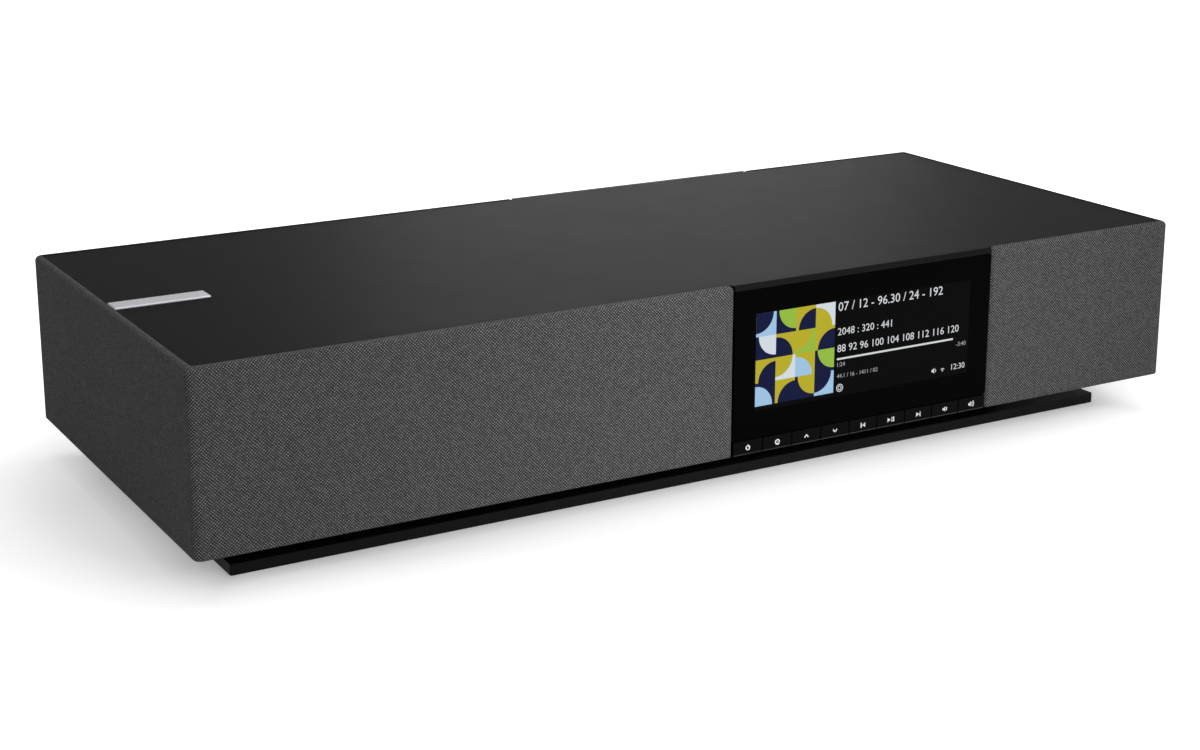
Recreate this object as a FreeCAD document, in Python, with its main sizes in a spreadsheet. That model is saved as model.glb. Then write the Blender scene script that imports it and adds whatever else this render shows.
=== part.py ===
import FreeCAD, Part
import math
import os
from types import SimpleNamespace

import Sketcher
from FreeCAD import Placement, Rotation, Vector

# All-in-one wireless speaker on a low base plate, in millimetres.
# +Z is up, the front faces -Y, and the origin is the middle of the footprint on the table.

SIZES = {
    "cabinet_width": 681.0,
    "cabinet_depth": 284.0,
    "cabinet_height": 106.0,
    "cabinet_lift": 25.0,
    "cloth_thickness": 0.8,
    "grille_thickness": 4.0,
    "corner_round": 4.6,
    "upper_round": 3.2,
    "lower_round": 1.2,
    "grille_rib": 9.0,
    "fascia_width": 193.5,
    "panel_gap": 0.8,
    "seat_gap": 0.2,
    "top_thickness": 3.2,
    "top_drop": 0.3,
    "lip_round": 2.6,
    "badge_width": 57.0,
    "badge_depth": 13.6,
    "badge_thickness": 1.1,
    "badge_bevel": 0.5,
    "badge_offset": 3.5,
    "shell_wall": 4.0,
    "shell_floor": 4.0,
    "baffle_setback": 14.0,
    "baffle_thickness": 6.0,
    "baffle_rim": 5.0,
    "bay_wall": 6.0,
    "bay_rib": 12.0,
    "bay_ledge": 8.0,
    "treble_wall": 3.0,
    "treble_chamber_depth": 60.0,
    "plate_thickness": 6.5,
    "plate_width": 622.0,
    "plate_inset": 31.0,
    "plate_round": 1.5,
    "foot_height": 1.0,
    "foot_radius": 11.0,
    "foot_seat": 0.6,
    "foot_inset": 26.0,
    "riser_inset": 42.0,
    "riser_wall": 5.0,
    "riser_round": 12.0,
    "glass_setback": 0.3,
    "glass_thickness": 2.0,
    "glass_round": 1.2,
    "screen_width": 172.0,
    "screen_height": 71.0,
    "screen_thickness": 5.0,
    "screen_raise": 0.8,
    "carrier_wall": 2.4,
    "button_height": 9.0,
    "button_gap": 0.7,
    "button_thickness": 3.0,
    "button_bevel": 0.9,
    "button_travel": 0.6,
    "stem_width": 6.0,
    "stem_height": 4.0,
    "stem_clearance": 0.3,
    "hook_reach": 0.6,
    "hook_thickness": 0.9,
    "hook_clearance": 0.1,
    "web_setback": 5.0,
    "key_room_inset": 4.0,
    "key_room_floor": 1.0,
    "switch_size": 6.0,
    "switch_clearance": 0.1,
    "board_thickness": 1.6,
    "post_height": 6.0,
    "post_width": 7.0,
    "board_edge": 6.0,
    "main_board_width": 116.0,
    "main_board_depth": 96.0,
    "chip_size": 26.0,
    "chip_height": 3.0,
    "power_board_depth": 92.0,
    "transformer_width": 44.0,
    "transformer_depth": 38.0,
    "transformer_height": 32.0,
    "capacitor_radius": 11.0,
    "capacitor_height": 34.0,
    "wireless_width": 30.0,
    "wireless_depth": 22.0,
    "shield_height": 3.0,
    "rear_setback": 0.5,
    "sink_inset": 20.0,
    "sink_height": 40.0,
    "sink_drop": 4.5,
    "sink_flange": 4.0,
    "sink_base": 4.0,
    "fin_thickness": 1.5,
    "fin_pitch": 5.0,
    "amplifier_height": 44.0,
    "amplifier_chip": 18.0,
    "amplifier_chip_height": 4.0,
    "socket_clearance": 0.3,
    "network_place": 24.0,
    "network_width": 16.0,
    "network_height": 13.4,
    "network_depth": 21.0,
    "network_mouth_width": 11.8,
    "network_mouth_height": 8.4,
    "network_mouth_depth": 15.0,
    "usb_place": 46.0,
    "usb_width": 14.4,
    "usb_height": 7.4,
    "usb_depth": 17.0,
    "usb_mouth_width": 12.5,
    "usb_mouth_height": 5.1,
    "usb_mouth_depth": 12.0,
    "tongue_inset": 1.2,
    "tongue_setback": 1.5,
    "hdmi_place": 68.0,
    "hdmi_width": 17.0,
    "hdmi_height": 7.0,
    "hdmi_depth": 13.0,
    "hdmi_mouth_width": 15.0,
    "hdmi_mouth_height": 5.5,
    "hdmi_mouth_depth": 9.0,
    "optical_place": 88.0,
    "optical_width": 10.4,
    "optical_height": 10.4,
    "optical_depth": 14.0,
    "optical_mouth_width": 8.6,
    "optical_mouth_height": 8.6,
    "optical_mouth_depth": 0.8,
    "line_place": 104.0,
    "line_width": 9.0,
    "line_height": 9.0,
    "line_depth": 15.0,
    "line_bore": 1.8,
    "line_bore_depth": 13.5,
    "mains_inset": 35.0,
    "mains_width": 20.0,
    "mains_height": 13.0,
    "mains_depth": 18.0,
    "mains_mouth_width": 15.8,
    "mains_mouth_height": 8.8,
    "mains_mouth_depth": 14.0,
    "mains_flange": 3.0,
    "mains_pin_radius": 1.2,
    "mains_pin_spacing": 8.6,
    "mains_pin_length": 10.0,
    "driver_gap": 2.5,
    "woofer_pitch": 110.0,
    "woofer_flange_radius": 40.0,
    "woofer_flange_thickness": 3.0,
    "woofer_body_radius": 34.5,
    "woofer_neck_radius": 23.0,
    "woofer_basket_depth": 32.0,
    "woofer_cone_radius": 28.0,
    "woofer_cone_depth": 16.0,
    "woofer_coil_radius": 11.0,
    "woofer_magnet_radius": 27.0,
    "woofer_magnet_depth": 20.0,
    "woofer_travel": 3.0,
    "woofer_window": 20.0,
    "midrange_flange_radius": 22.5,
    "midrange_flange_thickness": 2.6,
    "midrange_body_radius": 18.5,
    "midrange_neck_radius": 13.0,
    "midrange_basket_depth": 20.0,
    "midrange_cone_radius": 14.0,
    "midrange_cone_depth": 8.0,
    "midrange_coil_radius": 6.5,
    "midrange_magnet_radius": 15.0,
    "midrange_magnet_depth": 13.0,
    "midrange_travel": 1.5,
    "tweeter_flange_radius": 14.0,
    "tweeter_flange_thickness": 2.6,
    "tweeter_mouth_radius": 10.2,
    "tweeter_dome_radius": 9.0,
    "tweeter_dome_height": 3.6,
    "tweeter_magnet_radius": 11.2,
    "tweeter_magnet_depth": 15.0,
    "tweeter_travel": 0.4,
    "basket_wall": 1.6,
    "back_plate": 4.0,
    "hole_clearance": 0.5,
    "cone_thickness": 0.8,
    "cone_clearance": 0.3,
    "cap_rise": 1.6,
    "screw_radius": 1.6,
    "screw_head_radius": 3.0,
    "screw_head_height": 1.8,
    "rear_screw_length": 5.0,
    "rear_screw_inset": 5.2,
    "rear_screw_margin": 10.0,
    "screw_clearance": 0.1,
    "riser_boss": 9.0,
}

BUTTON_NAMES = (
    "power_button",
    "source_button",
    "up_button",
    "down_button",
    "previous_button",
    "play_button",
    "next_button",
    "volume_down_button",
    "volume_up_button",
)

SOCKETS = ("network", "usb", "hdmi", "optical", "line", "mains")

WOOFER_WINDOWS = 4
AMPLIFIER_CHIPS = 4
CAPACITORS = 2

# A dome is drawn as two straight runs that meet at this share of its radius and of its rise.
DOME_SHOULDER = 0.6
DOME_SHOULDER_RISE = 0.66

doc = FreeCAD.newDocument("wireless_speaker")
nodes = []


class Measure:
    """A length: its number now, and the formula over the sheet that it is bound by."""

    def __init__(self, number, formula):
        self.number = number
        self.formula = formula

    def combine(self, other, sign, number):
        return Measure(number, f"({self.formula} {sign} {measure(other).formula})")

    def __add__(self, other):
        return self.combine(other, "+", self.number + measure(other).number)

    def __sub__(self, other):
        return self.combine(other, "-", self.number - measure(other).number)

    def __mul__(self, other):
        return self.combine(other, "*", self.number * measure(other).number)

    def __truediv__(self, other):
        return self.combine(other, "/", self.number / measure(other).number)

    def __neg__(self):
        return Measure(-self.number, f"(0 - {self.formula})")

    def __rsub__(self, other):
        return measure(other) - self


def measure(value):
    if isinstance(value, Measure):
        return value
    return Measure(float(value), f"({float(value)})")


def make_sheet():
    sheet = doc.addObject("Spreadsheet::Sheet", "Sizes")
    for row, (alias, value) in enumerate(SIZES.items(), 1):
        sheet.set(f"A{row}", alias)
        sheet.set(f"B{row}", str(value))
        sheet.setAlias(f"B{row}", alias)
    doc.recompute()
    return SimpleNamespace(**{alias: Measure(value, f"Sizes.{alias}") for alias, value in SIZES.items()})


size = make_sheet()

# Planes and edges that many pieces share. The drivers are set out from the cabinet's right end,
# and the display bay comes after the innermost one.
half_width = size.cabinet_width / 2
half_depth = size.cabinet_depth / 2
front = -half_depth
cabinet_bottom = size.cabinet_lift
cabinet_top = size.cabinet_lift + size.cabinet_height
shell_left = -half_width + size.grille_thickness
shell_right = half_width - size.grille_thickness
shell_front = front + size.grille_thickness
shell_rear = half_depth - size.grille_thickness
top_surface = cabinet_top - size.top_drop
shell_top = top_surface - size.top_thickness
baffle_front = front + size.baffle_setback
baffle_rear = baffle_front + size.baffle_thickness
recess_edge = shell_right - size.baffle_rim
midrange_place = recess_edge - size.driver_gap - size.midrange_flange_radius
woofer_place = midrange_place - size.midrange_flange_radius - size.woofer_flange_radius
treble_front = midrange_place - size.midrange_flange_radius - size.treble_wall
bay_right = woofer_place - size.woofer_flange_radius - size.driver_gap - size.bay_rib
fascia_right = bay_right - size.panel_gap
fascia_left = fascia_right - size.fascia_width
fascia_centre = fascia_right - size.fascia_width / 2
bay_left = fascia_left - size.panel_gap
floor_top = cabinet_bottom + size.shell_floor
inner_rear = shell_rear - size.shell_wall
glass_front = front + size.glass_setback
glass_back = glass_front + size.glass_thickness
glass_bottom = cabinet_bottom + size.button_height + size.button_gap
glass_top = shell_top - size.seat_gap
rear_face = half_depth - size.rear_setback
woofer_height = (cabinet_bottom + shell_top) / 2
midrange_height = cabinet_bottom + size.baffle_rim + size.driver_gap + size.midrange_flange_radius
tweeter_height = shell_top - size.baffle_rim - size.driver_gap - size.tweeter_flange_radius
button_pitch = size.fascia_width / len(BUTTON_NAMES)
board_bottom = floor_top + size.post_height
board_top = board_bottom + size.board_thickness


def bind(item, path, length):
    item.setExpression(path, measure(length).formula)


def new_body(name):
    body = doc.addObject("PartDesign::Body", name)
    body.Label = name
    return body


def keep(item):
    """Lists a finished sub-part for export."""
    nodes.append(item)
    return item


def keep_group(name, members):
    """One sub-part of several separate solids."""
    group = doc.addObject("Part::Compound", name)
    group.Label = name
    group.Links = members
    return keep(group)


def new_sketch(body, plane, offset=0):
    sketch = body.newObject("Sketcher::SketchObject", f"{body.Name}_sketch")
    origin_plane = next(item for item in body.Origin.OriginFeatures if item.Role == plane)
    sketch.AttachmentSupport = (origin_plane, [""])
    sketch.MapMode = "FlatFace"
    bind(sketch, "AttachmentOffset.Base.z", offset)
    return sketch


def fix_point(sketch, geometry, end, x, y):
    """Holds a point of the sketch at a bound distance from the sketch's origin."""
    for kind, length in (("DistanceX", measure(x)), ("DistanceY", measure(y))):
        number = sketch.addConstraint(Sketcher.Constraint(kind, -1, 1, geometry, end, length.number))
        sketch.setExpression(f"Constraints[{number}]", length.formula)


def fix_radius(sketch, geometry, radius):
    number = sketch.addConstraint(Sketcher.Constraint("Radius", geometry, radius.number))
    sketch.setExpression(f"Constraints[{number}]", radius.formula)


def draw_line(sketch, start, end):
    first = Vector(start[0].number, start[1].number, 0)
    last = Vector(end[0].number, end[1].number, 0)
    line = sketch.addGeometry(Part.LineSegment(first, last))
    fix_point(sketch, line, 1, *start)
    fix_point(sketch, line, 2, *end)


def draw_arc(sketch, start, end, radius, left_of_travel):
    """The short arc of the given radius from start to end, centred on the side asked for."""
    first = Vector(start[0].number, start[1].number, 0)
    last = Vector(end[0].number, end[1].number, 0)
    chord = last - first
    side = Vector(-chord.y, chord.x, 0).normalize()
    height = math.sqrt(max(radius.number ** 2 - (chord.Length / 2) ** 2, 0))
    centre = (first + last) / 2 + side * (height if left_of_travel else -height)
    start_angle = math.atan2(first.y - centre.y, first.x - centre.x)
    end_angle = math.atan2(last.y - centre.y, last.x - centre.x)
    ends = (1, 2) if left_of_travel else (2, 1)
    angles = (start_angle, end_angle) if left_of_travel else (end_angle, start_angle)
    circle = Part.Circle(centre, Vector(0, 0, 1), radius.number)
    arc = sketch.addGeometry(Part.ArcOfCircle(circle, *angles))
    fix_point(sketch, arc, ends[0], *start)
    fix_point(sketch, arc, ends[1], *end)
    fix_radius(sketch, arc, radius)


def draw_outline(sketch, corners, closed=True):
    """Straight runs through corners (x, y). A third value rounds a square corner by that radius."""
    corners = [(measure(corner[0]), measure(corner[1]), *corner[2:]) for corner in corners]
    count = len(corners)
    runs = count if closed else count - 1
    ends = []
    for index, corner in enumerate(corners):
        x, y = corner[0], corner[1]
        if len(corner) == 2:
            ends.append(((x, y), (x, y)))
            continue
        radius = measure(corner[2])
        before = corners[index - 1]
        after = corners[(index + 1) % count]
        arrive = step_back(x, y, before, radius)
        leave = step_back(x, y, after, radius)
        into = (x.number - before[0].number, y.number - before[1].number)
        out = (after[0].number - x.number, after[1].number - y.number)
        turns_left = into[0] * out[1] - into[1] * out[0] > 0
        draw_arc(sketch, arrive, leave, radius, turns_left)
        ends.append((arrive, leave))
    for index in range(runs):
        draw_line(sketch, ends[index][1], ends[(index + 1) % count][0])


def step_back(x, y, towards, radius):
    """The point one radius from a square corner along its side towards the next corner."""
    if abs(towards[0].number - x.number) > abs(towards[1].number - y.number):
        return (x + radius if towards[0].number > x.number else x - radius, y)
    return (x, y + radius if towards[1].number > y.number else y - radius)


def draw_rectangle(sketch, left, low, right, high, radius=None):
    corners = [(left, low), (right, low), (right, high), (left, high)]
    if radius is not None:
        corners = [(*corner, radius) for corner in corners]
    draw_outline(sketch, corners)


def draw_circle(sketch, x, y, radius):
    x, y, radius = measure(x), measure(y), measure(radius)
    circle = sketch.addGeometry(Part.Circle(Vector(x.number, y.number, 0), Vector(0, 0, 1), radius.number))
    fix_point(sketch, circle, 3, x, y)
    fix_radius(sketch, circle, radius)


def extrude(body, kind, sketch, length, reverse=False, both_ways=False):
    feature = body.newObject(f"PartDesign::{kind}", f"{body.Name}_{kind}")
    feature.Profile = sketch
    bind(feature, "Length", length)
    feature.Reversed = reverse
    feature.Midplane = both_ways
    sketch.Visibility = False
    return feature


def pad(body, sketch, length, reverse=False, both_ways=False):
    return extrude(body, "Pad", sketch, length, reverse, both_ways)


def pocket(body, sketch, length, reverse=False, both_ways=False):
    """A pocket, checked to have taken material away."""
    doc.recompute()
    before = body.Shape.Volume
    feature = extrude(body, "Pocket", sketch, length, reverse, both_ways)
    doc.recompute()
    if not body.Shape.Volume < before:
        raise RuntimeError(f"{feature.Label} cuts nothing")
    return feature


def revolve(body, corners):
    """Turns a profile of (radius, height) corners about the body's Z axis."""
    sketch = new_sketch(body, "XZ_Plane")
    draw_outline(sketch, corners)
    feature = body.newObject("PartDesign::Revolution", f"{body.Name}_Revolution")
    feature.Profile = sketch
    feature.ReferenceAxis = (sketch, ["V_Axis"])
    feature.Angle = 360
    return feature


def dress_edges(body, kind, feature, radius, wanted):
    """A fillet or chamfer on the edges of a feature that pass a test."""
    doc.recompute()
    names = [f"Edge{number}" for number, edge in enumerate(feature.Shape.Edges, 1) if wanted(edge)]
    dressing = body.newObject(f"PartDesign::{kind}", f"{body.Name}_{kind}")
    dressing.Base = (feature, names)
    bind(dressing, "Radius" if kind == "Fillet" else "Size", radius)
    return dressing


def runs_along(edge, direction):
    """True for a straight edge parallel to a direction."""
    if edge.Curve.TypeId != "Part::GeomLine":
        return False
    return edge.tangentAt(edge.FirstParameter).cross(direction).Length < 1e-6


def is_near(value, length):
    return abs(value - measure(length).number) < 1e-4


def block(name, left, front_side, low, right, rear_side, high):
    """A plain box between six planes."""
    box = doc.addObject("Part::Box", name)
    box.Label = name
    bind(box, "Length", measure(right) - left)
    bind(box, "Width", measure(rear_side) - front_side)
    bind(box, "Height", measure(high) - low)
    bind(box, "Placement.Base.x", left)
    bind(box, "Placement.Base.y", front_side)
    bind(box, "Placement.Base.z", low)
    return box


def stand_at(item, x, y, z, turn=None):
    """Places an item by the sheet, after an optional turn."""
    item.Placement = Placement(Vector(), turn or Rotation())
    bind(item, "Placement.Base.x", x)
    bind(item, "Placement.Base.y", y)
    bind(item, "Placement.Base.z", z)


def grille_path(body, side, shortening):
    """The route of a cloth wrap in plan: front, side and rear, with square corners rounded."""
    inner = (bay_left - shortening) if side < 0 else (bay_right + shortening)
    outer = half_width * side
    sketch = new_sketch(body, "XY_Plane", cabinet_bottom)
    corners = [
        (inner, front),
        (outer, front, size.corner_round),
        (outer, half_depth, size.corner_round),
        (inner, half_depth),
    ]
    draw_outline(sketch, corners, closed=False)
    return sketch, inner


def sweep_grille(body, side, shortening, corners):
    """Sweeps a section, drawn at the front end of the wrap, round the cabinet."""
    path, inner = grille_path(body, side, shortening)
    section = new_sketch(body, "YZ_Plane", inner)
    draw_outline(section, corners)
    pipe = body.newObject("PartDesign::AdditivePipe", f"{body.Name}_pipe")
    pipe.Profile = section
    pipe.Spine = path
    return pipe


def make_cloth(name, side):
    """Acoustic cloth, folded over the grille's upper and lower edges and over its two ends."""
    body = new_body(name)
    skin = size.cloth_thickness
    inside = shell_front
    section = [
        (inside, cabinet_bottom),
        (inside, cabinet_bottom + skin),
        (front + skin, cabinet_bottom + skin, size.lower_round - skin),
        (front + skin, cabinet_top - skin, size.upper_round - skin),
        (inside, cabinet_top - skin),
        (inside, cabinet_top),
        (front, cabinet_top, size.upper_round),
        (front, cabinet_bottom, size.lower_round),
    ]
    sweep_grille(body, side, skin, section)
    cap_plane = bay_left - skin if side < 0 else bay_right + skin
    for outer, inner in ((front, shell_front), (half_depth, shell_rear)):
        cap = new_sketch(body, "YZ_Plane", cap_plane)
        corners = [
            (inner, cabinet_bottom),
            (outer, cabinet_bottom, size.lower_round),
            (outer, cabinet_top, size.upper_round),
            (inner, cabinet_top),
        ]
        draw_outline(cap, corners)
        pad(body, cap, skin, reverse=side > 0)
    return keep(body)


def make_grille_frame(name, side):
    """The rigid frame under the cloth, with a window in front of every driver."""
    body = new_body(name)
    skin = size.cloth_thickness
    section = [
        (shell_front, cabinet_bottom + skin),
        (front + skin, cabinet_bottom + skin, size.lower_round - skin),
        (front + skin, cabinet_top - skin, size.upper_round - skin),
        (shell_front, cabinet_top - skin),
    ]
    sweep_grille(body, side, skin, section)
    windows = new_sketch(body, "XZ_Plane", -front)
    low = cabinet_bottom + size.baffle_rim + size.cloth_thickness
    high = shell_top - size.baffle_rim
    for left, right in grille_windows(side):
        draw_rectangle(windows, left, low, right, high)
    pocket(body, windows, size.grille_thickness)
    return keep(body)


def grille_windows(side):
    """Left and right edges of the windows of one frame."""
    rib = size.grille_rib / 2
    woofer_split = size.woofer_pitch / 2 - woofer_place
    treble = (treble_front + rib, recess_edge)
    if side > 0:
        return [(bay_right + size.bay_rib, treble_front - rib), treble]
    left = rib - treble_front
    return [
        (-treble[1], -treble[0]),
        (left, woofer_split - rib),
        (woofer_split + rib, bay_left - size.bay_rib),
    ]


def make_top_panel():
    """Top panel between the cloth rims, with a lip that comes forward over the display."""
    body = new_body("top_panel")
    gap = size.seat_gap
    sketch = new_sketch(body, "XY_Plane", shell_top)
    corner = size.corner_round - size.grille_thickness + gap
    corners = [
        (shell_left + gap, shell_front + gap, corner),
        (fascia_left, shell_front + gap),
        (fascia_left, glass_front),
        (fascia_right, glass_front),
        (fascia_right, shell_front + gap),
        (shell_right - gap, shell_front + gap, corner),
        (shell_right - gap, shell_rear - gap, corner),
        (shell_left + gap, shell_rear - gap, corner),
    ]
    draw_outline(sketch, corners)
    plate = pad(body, sketch, size.top_thickness)

    def is_lip(edge):
        at_front = is_near(edge.CenterOfMass.y, glass_front)
        return at_front and is_near(edge.CenterOfMass.z, top_surface) and runs_along(edge, Vector(1, 0, 0))

    dress_edges(body, "Fillet", plate, size.lip_round, is_lip)
    return keep(body)


def make_badge_plate():
    """Small bare plate near the left rim, with a bevelled rim of its own."""
    body = new_body("badge_plate")
    sketch = new_sketch(body, "XY_Plane", top_surface)
    left = shell_left + size.seat_gap
    middle = -size.badge_offset
    half = size.badge_depth / 2
    draw_rectangle(sketch, left, middle - half, left + size.badge_width, middle + half)
    plate = pad(body, sketch, size.badge_thickness)
    top = top_surface + size.badge_thickness
    dress_edges(body, "Chamfer", plate, size.badge_bevel, lambda edge: is_near(edge.CenterOfMass.z, top))
    return keep(body)


def make_cabinet_shell():
    """Moulded cabinet: recessed baffles, sealed chambers, electronics bay and mounting posts."""
    body = new_body("cabinet_shell")
    plan = new_sketch(body, "XY_Plane", cabinet_bottom)
    corner = size.corner_round - size.grille_thickness
    draw_rectangle(plan, shell_left, shell_front, shell_right, shell_rear, corner)
    pad(body, plan, shell_top - cabinet_bottom)

    wall = size.shell_wall
    treble_inner = treble_front + size.treble_wall
    treble_rear = baffle_rear + size.treble_chamber_depth
    rooms = new_sketch(body, "XY_Plane", shell_top)
    draw_rectangle(rooms, bay_left, baffle_rear, bay_right, inner_rear)
    for side, bay_edge in ((-1, bay_left - size.bay_wall), (1, bay_right + size.bay_wall)):
        outer = (shell_right - wall) * side
        draw_rectangle(rooms, treble_inner * side, baffle_rear, outer, treble_rear)
        bass = [
            (bay_edge, baffle_rear),
            (treble_front * side, baffle_rear),
            (treble_front * side, treble_rear + size.treble_wall),
            (outer, treble_rear + size.treble_wall),
            (outer, inner_rear),
            (bay_edge, inner_rear),
        ]
        draw_outline(rooms, bass)
    pocket(body, rooms, shell_top - floor_top)

    recesses = new_sketch(body, "XZ_Plane", -shell_front)
    low = cabinet_bottom + size.baffle_rim
    high = shell_top - size.baffle_rim
    draw_rectangle(recesses, -recess_edge, low, bay_left - size.bay_rib, high)
    draw_rectangle(recesses, bay_right + size.bay_rib, low, recess_edge, high)
    draw_rectangle(recesses, bay_left, cabinet_bottom, bay_right, shell_top)
    pocket(body, recesses, baffle_front - shell_front)

    holes = new_sketch(body, "XZ_Plane", -baffle_front)
    for kind, x, z, _ in driver_places():
        draw_circle(holes, x, z, driver_hole(kind))
    ledge = size.bay_ledge
    draw_rectangle(holes, bay_left + ledge, floor_top, bay_right - ledge, shell_top - ledge)
    pocket(body, holes, size.baffle_thickness)

    rear_hole = new_sketch(body, "XZ_Plane", -shell_rear)
    draw_rectangle(rear_hole, bay_left + ledge, floor_top, bay_right - ledge, shell_top - ledge)
    pocket(body, rear_hole, wall, reverse=True)

    shank = size.screw_radius + size.screw_clearance
    rear_bores = new_sketch(body, "XZ_Plane", -shell_rear)
    for x, z in rear_screw_places():
        draw_circle(rear_bores, x, z, shank)
    pocket(body, rear_bores, wall, reverse=True)
    floor_bores = new_sketch(body, "XY_Plane", cabinet_bottom)
    for x, y in base_screw_places():
        draw_circle(floor_bores, x, y, shank)
    pocket(body, floor_bores, size.shell_floor, reverse=True)

    posts = new_sketch(body, "XY_Plane", floor_top)
    for left, near, right, far in (main_board_edges(), power_board_edges()):
        reach = size.post_width
        for x in (left, right - reach):
            for y in (near, far - reach):
                draw_rectangle(posts, x, y, x + reach, y + reach)
    pad(body, posts, size.post_height)
    return keep(body)


def driver_places():
    """Kind, x, z and name of every driver."""
    places = []
    for index, name in enumerate(("outer_left", "inner_left")):
        places.append(("woofer", size.woofer_pitch * index - woofer_place, woofer_height, name))
    places.append(("woofer", woofer_place, woofer_height, "right"))
    for side, name in ((-1, "left"), (1, "right")):
        places.append(("midrange", midrange_place * side, midrange_height, name))
        places.append(("tweeter", midrange_place * side, tweeter_height, name))
    return places


def driver_hole(kind):
    if kind == "tweeter":
        return size.tweeter_magnet_radius + size.hole_clearance
    return driver_size(kind, "body_radius") + size.hole_clearance


def driver_size(kind, name):
    return getattr(size, f"{kind}_{name}")


def set_in_baffle(item, x, z):
    """Turns a driver's piece, drawn along +Z, to fire forward from the baffle."""
    stand_at(item, x, baffle_front, z, Rotation(Vector(1, 0, 0), 90))


def make_basket(kind, place):
    """Basket: a flange, a tapered frame and a floor with a bore. The woofer's has four windows."""
    body = new_body(f"{kind}_basket_{place}")
    flange = driver_size(kind, "flange_radius")
    thick = driver_size(kind, "flange_thickness")
    outer = driver_size(kind, "body_radius")
    neck = driver_size(kind, "neck_radius")
    depth = driver_size(kind, "basket_depth")
    wall = size.basket_wall
    bore = driver_size(kind, "coil_radius") + wall
    corners = [
        (flange, 0),
        (flange, thick),
        (outer - wall, thick),
        (neck - wall, wall - depth),
        (bore, wall - depth),
        (bore, -depth),
        (neck, -depth),
        (outer, 0),
    ]
    revolve(body, corners)
    if kind != "woofer":
        return body
    window = new_sketch(body, "XZ_Plane")
    draw_rectangle(window, neck - wall * 3, wall * 2 - depth, flange, -thick - wall)
    cut = pocket(body, window, size.woofer_window, both_ways=True)
    pattern = body.newObject("PartDesign::PolarPattern", f"{body.Name}_windows")
    pattern.Originals = [cut]
    pattern.Axis = (next(item for item in body.Origin.OriginFeatures if item.Role == "Z_Axis"), [""])
    pattern.Angle = 360
    pattern.Occurrences = WOOFER_WINDOWS
    body.Tip = pattern
    return body


def make_magnet(kind, place):
    """Magnet ring, back plate and pole piece, with the annular gap for the voice coil."""
    body = new_body(f"{kind}_magnet_{place}")
    top = -driver_size(kind, "basket_depth")
    depth = driver_size(kind, "magnet_depth")
    radius = driver_size(kind, "magnet_radius")
    coil = driver_size(kind, "coil_radius")
    bottom = top - depth
    gap_floor = bottom + size.back_plate
    clear = size.cone_thickness
    corners = [
        (0, bottom),
        (radius, bottom),
        (radius, top),
        (coil + clear, top),
        (coil + clear, gap_floor),
        (coil - clear * 2, gap_floor),
        (coil - clear * 2, top),
        (0, top),
    ]
    revolve(body, corners)
    return body


def make_surround(kind, place):
    """Rubber surround: a flat lip on the basket's flange and one raised roll towards the cone."""
    body = new_body(f"{kind}_surround_{place}")
    thick = size.cone_thickness
    seat = driver_size(kind, "flange_thickness")
    lip = driver_size(kind, "body_radius") + size.basket_wall
    inner = driver_size(kind, "cone_radius") + size.cone_clearance
    outer = driver_size(kind, "body_radius") - size.basket_wall
    crest = (inner + outer) / 2
    rise = (outer - inner) / 3
    corners = [
        (inner, seat),
        (crest, seat + rise),
        (outer, seat),
        (lip, seat),
        (lip, seat + thick),
        (outer, seat + thick),
        (crest, seat + rise + thick),
        (inner, seat + thick),
    ]
    revolve(body, corners)
    return body


def make_cone(kind, place):
    """Cone, flat dust cap and voice coil former: they move together."""
    body = new_body(f"{kind}_cone_{place}")
    thick = size.cone_thickness
    rim = driver_size(kind, "flange_thickness")
    radius = driver_size(kind, "cone_radius")
    depth = driver_size(kind, "cone_depth")
    coil = driver_size(kind, "coil_radius")
    travel = driver_size(kind, "travel")
    magnet_bottom = -driver_size(kind, "basket_depth") - driver_size(kind, "magnet_depth")
    coil_end = magnet_bottom + size.back_plate + travel + thick
    cap_edge = coil + thick
    cap_low = thick - depth
    cap_top = cap_low + size.cap_rise
    corners = [
        (0, cap_top),
        (0, cap_top - thick),
        (coil - thick, cap_top - thick),
        (coil - thick, coil_end),
        (coil, coil_end),
        (coil, -depth - thick),
        (radius, rim),
        (radius, rim + thick),
        (cap_edge, cap_low),
        (cap_edge, cap_top),
    ]
    revolve(body, corners)
    return keep(body)


def make_tweeter(place, x, z):
    """Faceplate, magnet and moving dome of one tweeter."""
    thick = size.cone_thickness
    face = size.tweeter_flange_thickness
    mouth = size.tweeter_mouth_radius
    dome = size.tweeter_dome_radius
    plate = new_body(f"tweeter_faceplate_{place}")
    flare = [
        (mouth, 0),
        (size.tweeter_flange_radius, 0),
        (size.tweeter_flange_radius, face),
        (mouth + face, face),
        (mouth, thick),
    ]
    revolve(plate, flare)
    magnet = new_body(f"tweeter_magnet_{place}")
    depth = size.tweeter_magnet_depth
    gap_floor = size.back_plate - depth
    motor = [
        (0, -depth),
        (size.tweeter_magnet_radius, -depth),
        (size.tweeter_magnet_radius, 0),
        (dome + size.cone_clearance, 0),
        (dome + size.cone_clearance, gap_floor),
        (dome - thick - size.cone_clearance, gap_floor),
        (dome - thick - size.cone_clearance, -thick * 2),
        (0, -thick * 2),
    ]
    revolve(magnet, motor)
    cap = new_body(f"tweeter_dome_{place}")
    rise = size.tweeter_dome_height
    coil_end = gap_floor + size.tweeter_travel + thick
    profile = [
        (0, rise),
        (0, -thick),
        (dome - thick, -thick),
        (dome - thick, coil_end),
        (dome, coil_end),
        (dome, 0),
        (dome * DOME_SHOULDER, rise * DOME_SHOULDER_RISE),
    ]
    revolve(cap, profile)
    for item in (plate, magnet, cap):
        set_in_baffle(item, x, z)
    keep(cap)
    return plate, magnet


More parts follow.
